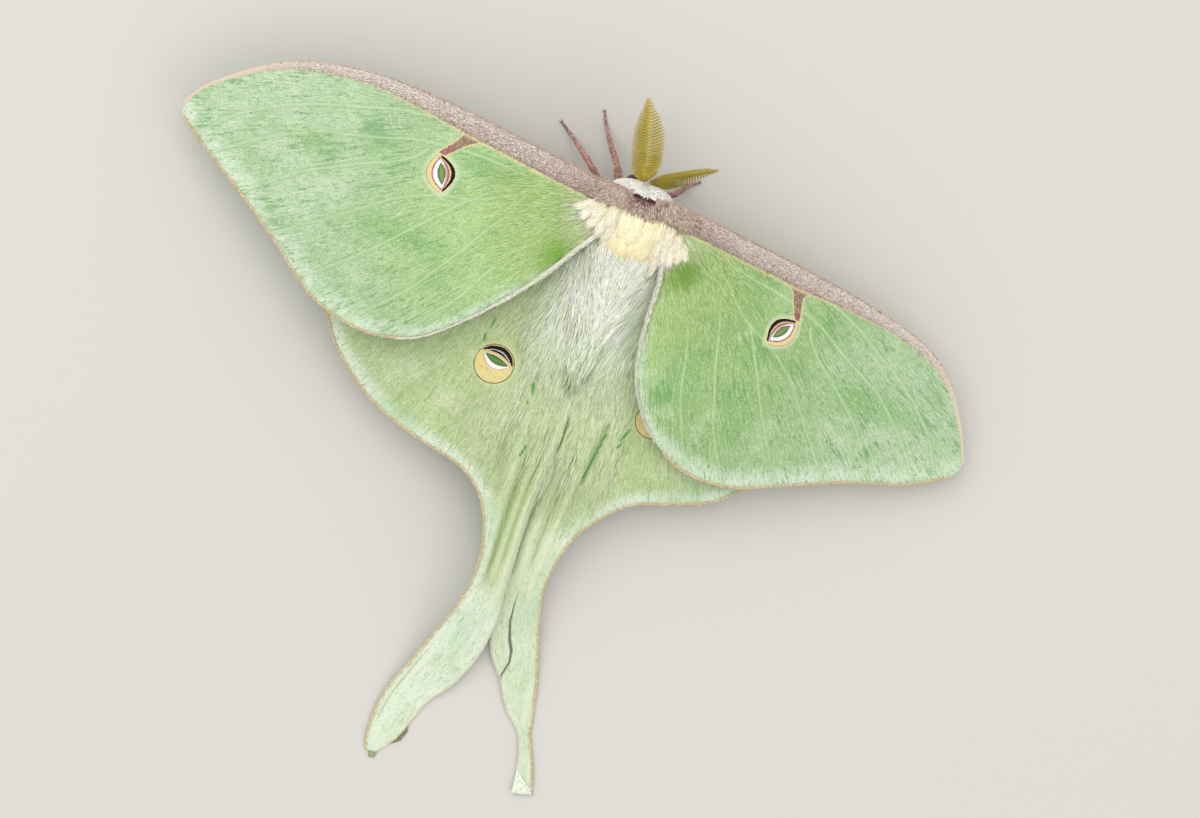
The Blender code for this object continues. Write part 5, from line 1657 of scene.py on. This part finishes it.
def build_costa_scales(side):
    """Shingle the front edge of a forewing with mauve and white scales."""
    rng = np.random.default_rng(SEED + (12 if side == "left" else 13))
    wing, sign = FOREWINGS[side], SIDES[side]
    ground = Ground("forewing_%s_membrane" % side)
    lead = rail(wing["chords"], 0, 600)
    size = run_along(lead)
    number = amount(9500)
    place = rng.random(number) ** 1.15 * 48.0
    place = place[rng.random(number) < costa_width(place) / 2.35 * ease(48.0, 34.0, place)]
    number = len(place)
    width = costa_width(place)
    share = rng.random(number) * 1.02
    spot = at_run(lead, size, place)
    ahead = unit(at_run(lead, size, place + 0.4) - spot)
    rearward = np.column_stack((-ahead[:, 1], ahead[:, 0]))
    start = spot + rearward * (share * width)[:, None]
    way = ahead * 0.8 + rearward * (rng.normal(0.15, 0.2, number) + 0.4 * (share - 0.5))[:, None]
    length = rng.uniform(0.3, 0.5, number)
    t = np.linspace(0, 1, 3)
    line = (start[:, None] + way[:, None] * (length[:, None] * t)[..., None]) * (sign, 1.0)
    lifts = 0.01 + 0.05 * np.sin(np.pi * t[None] * 0.75) * rng.uniform(0.6, 1.4, (number, 1))
    rust = ease(0.09, 0.0, share)
    # Scales turn paler toward the tip; the front of the band is painted lighter as painted highlight and its rear
    # darker as painted shade.
    pale = 0.25 * ease(4.0, 12.0, place) + 0.3 * ease(14.0, 34.0, place) + 0.16 * ease(0.7, 0.25, share)
    tints = np.clip(0.12 + 0.72 * rng.random(number) + 0.8 * pale - 0.14 * ease(0.75, 1.0, share), 0, 1) * (1 - rust)
    add_coat("forewing_%s_costa_scales" % side, rng, lay_down(ground, line, lifts), rng.uniform(0.1, 0.165, number),
             coat_material("Front edge scales, mauve and white", "CFB48E", "95776F", "B69E96", "CEBAB0", "DFD2C8",
                           "F2EAE4", sheen=0.25),
             tints=tints, flat=0.3, unwrap=np.column_stack((place, share)))


def build_leg_coats(limbs):
    """Dust the legs with short pink and white scales."""
    rng = np.random.default_rng(SEED + 14)
    paths, ups, unwrap = [], [], []
    for index, (path, along, side) in enumerate(limbs.values()):
        number = 620
        share = rng.random(number) ** 1.2 * 0.97
        k = (share * (len(path) - 1)).astype(int)
        radius = leg_radius(share)
        angle = rng.random(number) * 2 * np.pi
        up = np.cross(side, along)
        normal = side[k] * np.cos(angle)[:, None] + up[k] * np.sin(angle)[:, None]
        root = path[k] + normal * (radius * 0.96)[:, None]
        length = rng.uniform(0.28, 0.5, number) * (1 - 0.5 * share)
        t = np.linspace(0, 1, 3)
        line = root[:, None] + (along[k] * length[:, None])[:, None] * t[None, :, None]
        line += normal[:, None] * (0.09 * np.sin(np.pi * t * 0.7) * (1 - 0.5 * share)[:, None])[..., None]
        line[..., 2] = np.maximum(line[..., 2], 0.03)
        paths.append(line)
        ups.append(np.repeat(normal[:, None], 3, axis=1))
        unwrap.append(np.column_stack((index + 0.9 * angle / (2 * np.pi), share)))
    paths, ups, unwrap = (np.concatenate(kept) for kept in (paths, ups, unwrap))
    add_coat("leg_scales", rng, paths, rng.uniform(0.09, 0.15, len(paths)),
             coat_material("Leg scales, pink brown", "5A382C", "94665C", "BA8C7E", "D6B2A6", "F0E2DC"), ups,
             unwrap=unwrap)


# ---------------------------------------------------------------- stage


def build_stage():
    """Set the pale floor, the soft lights and the camera."""
    settings = bpy.context.scene.moth_stage
    bm = bmesh.new()
    bmesh.ops.create_circle(bm, cap_ends=True, segments=96, radius=settings.floor_radius)
    floor = bpy.data.objects.new("floor", mesh_of(bm, "floor", smooth=False))
    bpy.context.scene.collection.objects.link(floor)
    made, tree, shader, place = new_material("Matt card, pale grey", 0.85, Specular_IOR_Level=0.2)
    grain = add_node(tree, "TexNoise", {"Vector": place, "Scale": 900, "Detail": 2})
    finish_shader(tree, shader, paint(tree, settings.floor_tone, ((grain, 0.5, 0.8, 0.1, "C9C7C0"),)))
    floor.data.materials.append(made)
    world = bpy.data.worlds.new("Soft room")
    world.use_nodes = True
    backdrop = world.node_tree.nodes["Background"]
    backdrop.inputs["Color"].default_value = (1.0, 0.985, 0.96, 1.0)
    backdrop.inputs["Strength"].default_value = settings.room_light
    bpy.context.scene.world = world
    bpy.context.scene.view_settings.view_transform = "Standard"
    centre = Vector(((CAD_BOX[0][0] + CAD_BOX[1][0]) / 2, (CAD_BOX[0][1] + CAD_BOX[1][1]) / 2, 0.0))
    for name, place, size, power in (
            ("key_light", (0.42, -0.36, 0.72), 0.9, settings.key_power),
            ("fill_light", (-0.6, 0.3, 0.6), 0.8, settings.key_power * 0.25)):
        lamp = bpy.data.lights.new(name, "AREA")
        lamp.size = size
        lamp.energy = power
        light = bpy.data.objects.new(name, lamp)
        bpy.context.scene.collection.objects.link(light)
        light.location = centre + Vector(place)
        light.rotation_euler = (-Vector(place)).to_track_quat("-Z", "Y").to_euler()
    back = Vector((math.sin(0.21666) * math.cos(-0.10482), math.sin(-0.10482), math.cos(0.21666) * math.cos(-0.10482)))
    above = Vector((0.0, -1.0, 0.0))
    above = (above - back * above.dot(back)).normalized()
    level = above.cross(back)
    roll = 0.35274
    right = math.cos(roll) * level + math.sin(roll) * above
    up = -math.sin(roll) * level + math.cos(roll) * above
    lens = bpy.data.cameras.new("camera")
    lens.lens, lens.sensor_width = 100.0, 36.0
    lens.clip_start = 0.01
    camera = bpy.data.objects.new("camera", lens)
    bpy.context.scene.collection.objects.link(camera)
    target = Vector(SHIFT) + Vector((0, 0, 10 * MM))
    matrix = Matrix((right, up, back)).transposed().to_4x4()
    matrix.translation = target + back * 0.383 - right * 0.0044886 - up * 0.0232322
    camera.matrix_world = matrix
    bpy.context.scene.camera = camera


# ---------------------------------------------------------------- settings, operators, panel

def tone_setting(name, description, tone):
    """Return a colour setting with an sRGB hex default."""
    return bpy.props.FloatVectorProperty(
        name=name, description=description, subtype="COLOR", size=4, min=0.0, max=1.0,
        default=(*linear_colour(tone), 1.0))


def length_setting(name, description, millimetres):
    """Return a length setting with a default in millimetres."""
    return bpy.props.FloatProperty(
        name=name, description=description, subtype="DISTANCE", unit="LENGTH", min=0.0, precision=5,
        default=millimetres * MM)


class MothWings(bpy.types.PropertyGroup):
    """Sizes and colours of the wings"""
    membrane: length_setting("Membrane", "Thickness of the wing's sheet", 0.2)
    fringe: length_setting("Fringe", "Length of the scales along the margins", 0.3)
    forewing_outer: tone_setting("Forewing outer", "Mint green of the outer forewing", "9AB88E")
    forewing_inner: tone_setting("Forewing inner", "Yellow green of the forewing's root", "ACCA84")
    hindwing_outer: tone_setting("Hindwing outer", "Pale green of the outer hindwing", "A5BA88")
    hindwing_inner: tone_setting("Hindwing inner", "Yellow green of the inner hindwing", "B2C288")
    tail: tone_setting("Tail", "Whitish green of the tails", "DEEBD8")
    costa: tone_setting("Front edge", "Mauve of the forewing's front edge", "BEA8A0")
    rim_band: tone_setting("Margin band", "Bluish white band inside the margins", "D4E2D2")


class MothBody(bpy.types.PropertyGroup):
    """Sizes of the body"""
    coat_depth: length_setting("Coat depth", "How far the skin lies under the coat's surface", 0.6)
    eye_radius: length_setting("Eye radius", "Radius of a compound eye", 0.95)


class MothAntennae(bpy.types.PropertyGroup):
    """Sizes of the antennae"""
    joints: bpy.props.IntProperty(name="Joints", description="Joints of one antenna", min=8, max=60, default=38)
    shaft_width: length_setting("Shaft width", "Thickness of the shaft at its root", 0.36)
    branch_length: length_setting("Branch length", "Length of the longest branches", 2.2)
    branch_width: length_setting("Branch width", "Thickness of one branch", 0.2)
    dihedral: bpy.props.FloatProperty(
        name="Rise", description="Rise of the branches for their length", min=0.0, max=1.0, default=0.28)


class MothCoat(bpy.types.PropertyGroup):
    """Amount of hair and scales"""
    density: bpy.props.FloatProperty(
        name="Density", description="Share of the full number of hairs", min=0.05, max=1.5, default=1.0)


class MothStage(bpy.types.PropertyGroup):
    """Floor and light"""
    floor_radius: bpy.props.FloatProperty(
        name="Floor radius", description="Radius of the floor", subtype="DISTANCE", unit="LENGTH", min=0.1, default=4.0)
    floor_tone: tone_setting("Floor", "Colour of the floor", "CFCDC8")
    room_light: bpy.props.FloatProperty(
        name="Room light", description="Strength of the even light of the room", min=0.0, default=0.8)
    key_power: bpy.props.FloatProperty(
        name="Key light", description="Power of the main soft light", subtype="POWER", unit="POWER",
        min=0.0, default=4.7)


class MOTH_OT_body(bpy.types.Operator):
    """Build the skin of the body and the eyes"""
    bl_idname = "moth.body"
    bl_label = "Body and eyes"

    def execute(self, context):
        build_skin()
        build_eyes()
        return {"FINISHED"}


class MOTH_OT_forewings(bpy.types.Operator):
    """Build both forewings with their veins"""
    bl_idname = "moth.forewings"
    bl_label = "Forewings"

    def execute(self, context):
        for side in SIDES:
            build_forewing(side)
        return {"FINISHED"}


class MOTH_OT_hindwings(bpy.types.Operator):
    """Build both hindwings with their tails and veins"""
    bl_idname = "moth.hindwings"
    bl_label = "Hindwings and tails"

    def execute(self, context):
        for side in SIDES:
            build_hindwing(side)
        build_tip_folds()
        return {"FINISHED"}


class MOTH_OT_antennae(bpy.types.Operator):
    """Build both combed antennae"""
    bl_idname = "moth.antennae"
    bl_label = "Antennae"

    def execute(self, context):
        for side in SIDES:
            build_antenna(side)
        return {"FINISHED"}


class MOTH_OT_legs(bpy.types.Operator):
    """Build the six legs with their claws and scales"""
    bl_idname = "moth.legs"
    bl_label = "Legs"

    def execute(self, context):
        limbs = {name: build_leg(name, points) for name, points in LEGS.items()}
        build_claws(limbs.values())
        build_leg_coats(limbs)
        return {"FINISHED"}


class MOTH_OT_coat(bpy.types.Operator):
    """Lay the coat of the head, thorax and abdomen"""
    bl_idname = "moth.coat"
    bl_label = "Body coat"

    def execute(self, context):
        build_belly_coat()
        build_crest()
        build_collar()
        build_locks()
        build_back_hair()
        return {"FINISHED"}


class MOTH_OT_wing_coat(bpy.types.Operator):
    """Lay the hair, front edge scales and fringes of the wings"""
    bl_idname = "moth.wing_coat"
    bl_label = "Wing coat"

    def execute(self, context):
        for side in SIDES:
            build_hindwing_hair(side)
            build_forewing_hair(side)
            build_costa_scales(side)
        build_fringes()
        return {"FINISHED"}


class MOTH_OT_stage(bpy.types.Operator):
    """Set the floor, the lights and the camera"""
    bl_idname = "moth.stage"
    bl_label = "Stage"

    def execute(self, context):
        build_stage()
        return {"FINISHED"}


OPERATORS = (MOTH_OT_stage, MOTH_OT_body, MOTH_OT_forewings, MOTH_OT_hindwings, MOTH_OT_antennae, MOTH_OT_legs,
             MOTH_OT_coat, MOTH_OT_wing_coat)
SETTINGS = {"moth_wings": MothWings, "moth_body": MothBody, "moth_antennae": MothAntennae, "moth_coat": MothCoat,
            "moth_stage": MothStage}


class MOTH_PT_panel(bpy.types.Panel):
    """Sidebar panel with the moth's settings and operators"""
    bl_idname = "MOTH_PT_panel"
    bl_label = "Luna Moth"
    bl_space_type = "VIEW_3D"
    bl_region_type = "UI"
    bl_category = "Moth"

    def draw(self, context):
        for name, group in SETTINGS.items():
            box = self.layout.box()
            for key in group.__annotations__:
                box.prop(getattr(context.scene, name), key)
        for operator in OPERATORS:
            self.layout.operator(operator.bl_idname)


def register():
    """Register the settings, the operators and the panel."""
    for name, group in SETTINGS.items():
        bpy.utils.register_class(group)
        setattr(bpy.types.Scene, name, bpy.props.PointerProperty(type=group))
    for operator in OPERATORS:
        bpy.utils.register_class(operator)
    bpy.utils.register_class(MOTH_PT_panel)


def unregister():
    """Take the panel, the operators and the settings away again."""
    bpy.utils.unregister_class(MOTH_PT_panel)
    for operator in reversed(OPERATORS):
        bpy.utils.unregister_class(operator)
    for name, group in reversed(SETTINGS.items()):
        delattr(bpy.types.Scene, name)
        bpy.utils.unregister_class(group)


def main():
    """Build the whole moth."""
    register()
    bpy.ops.moth.stage()
    bpy.ops.moth.body()
    bpy.ops.moth.forewings()
    bpy.ops.moth.hindwings()
    bpy.ops.moth.antennae()
    bpy.ops.moth.legs()
    bpy.ops.moth.coat()
    bpy.ops.moth.wing_coat()


if __name__ == "__main__":
    main()
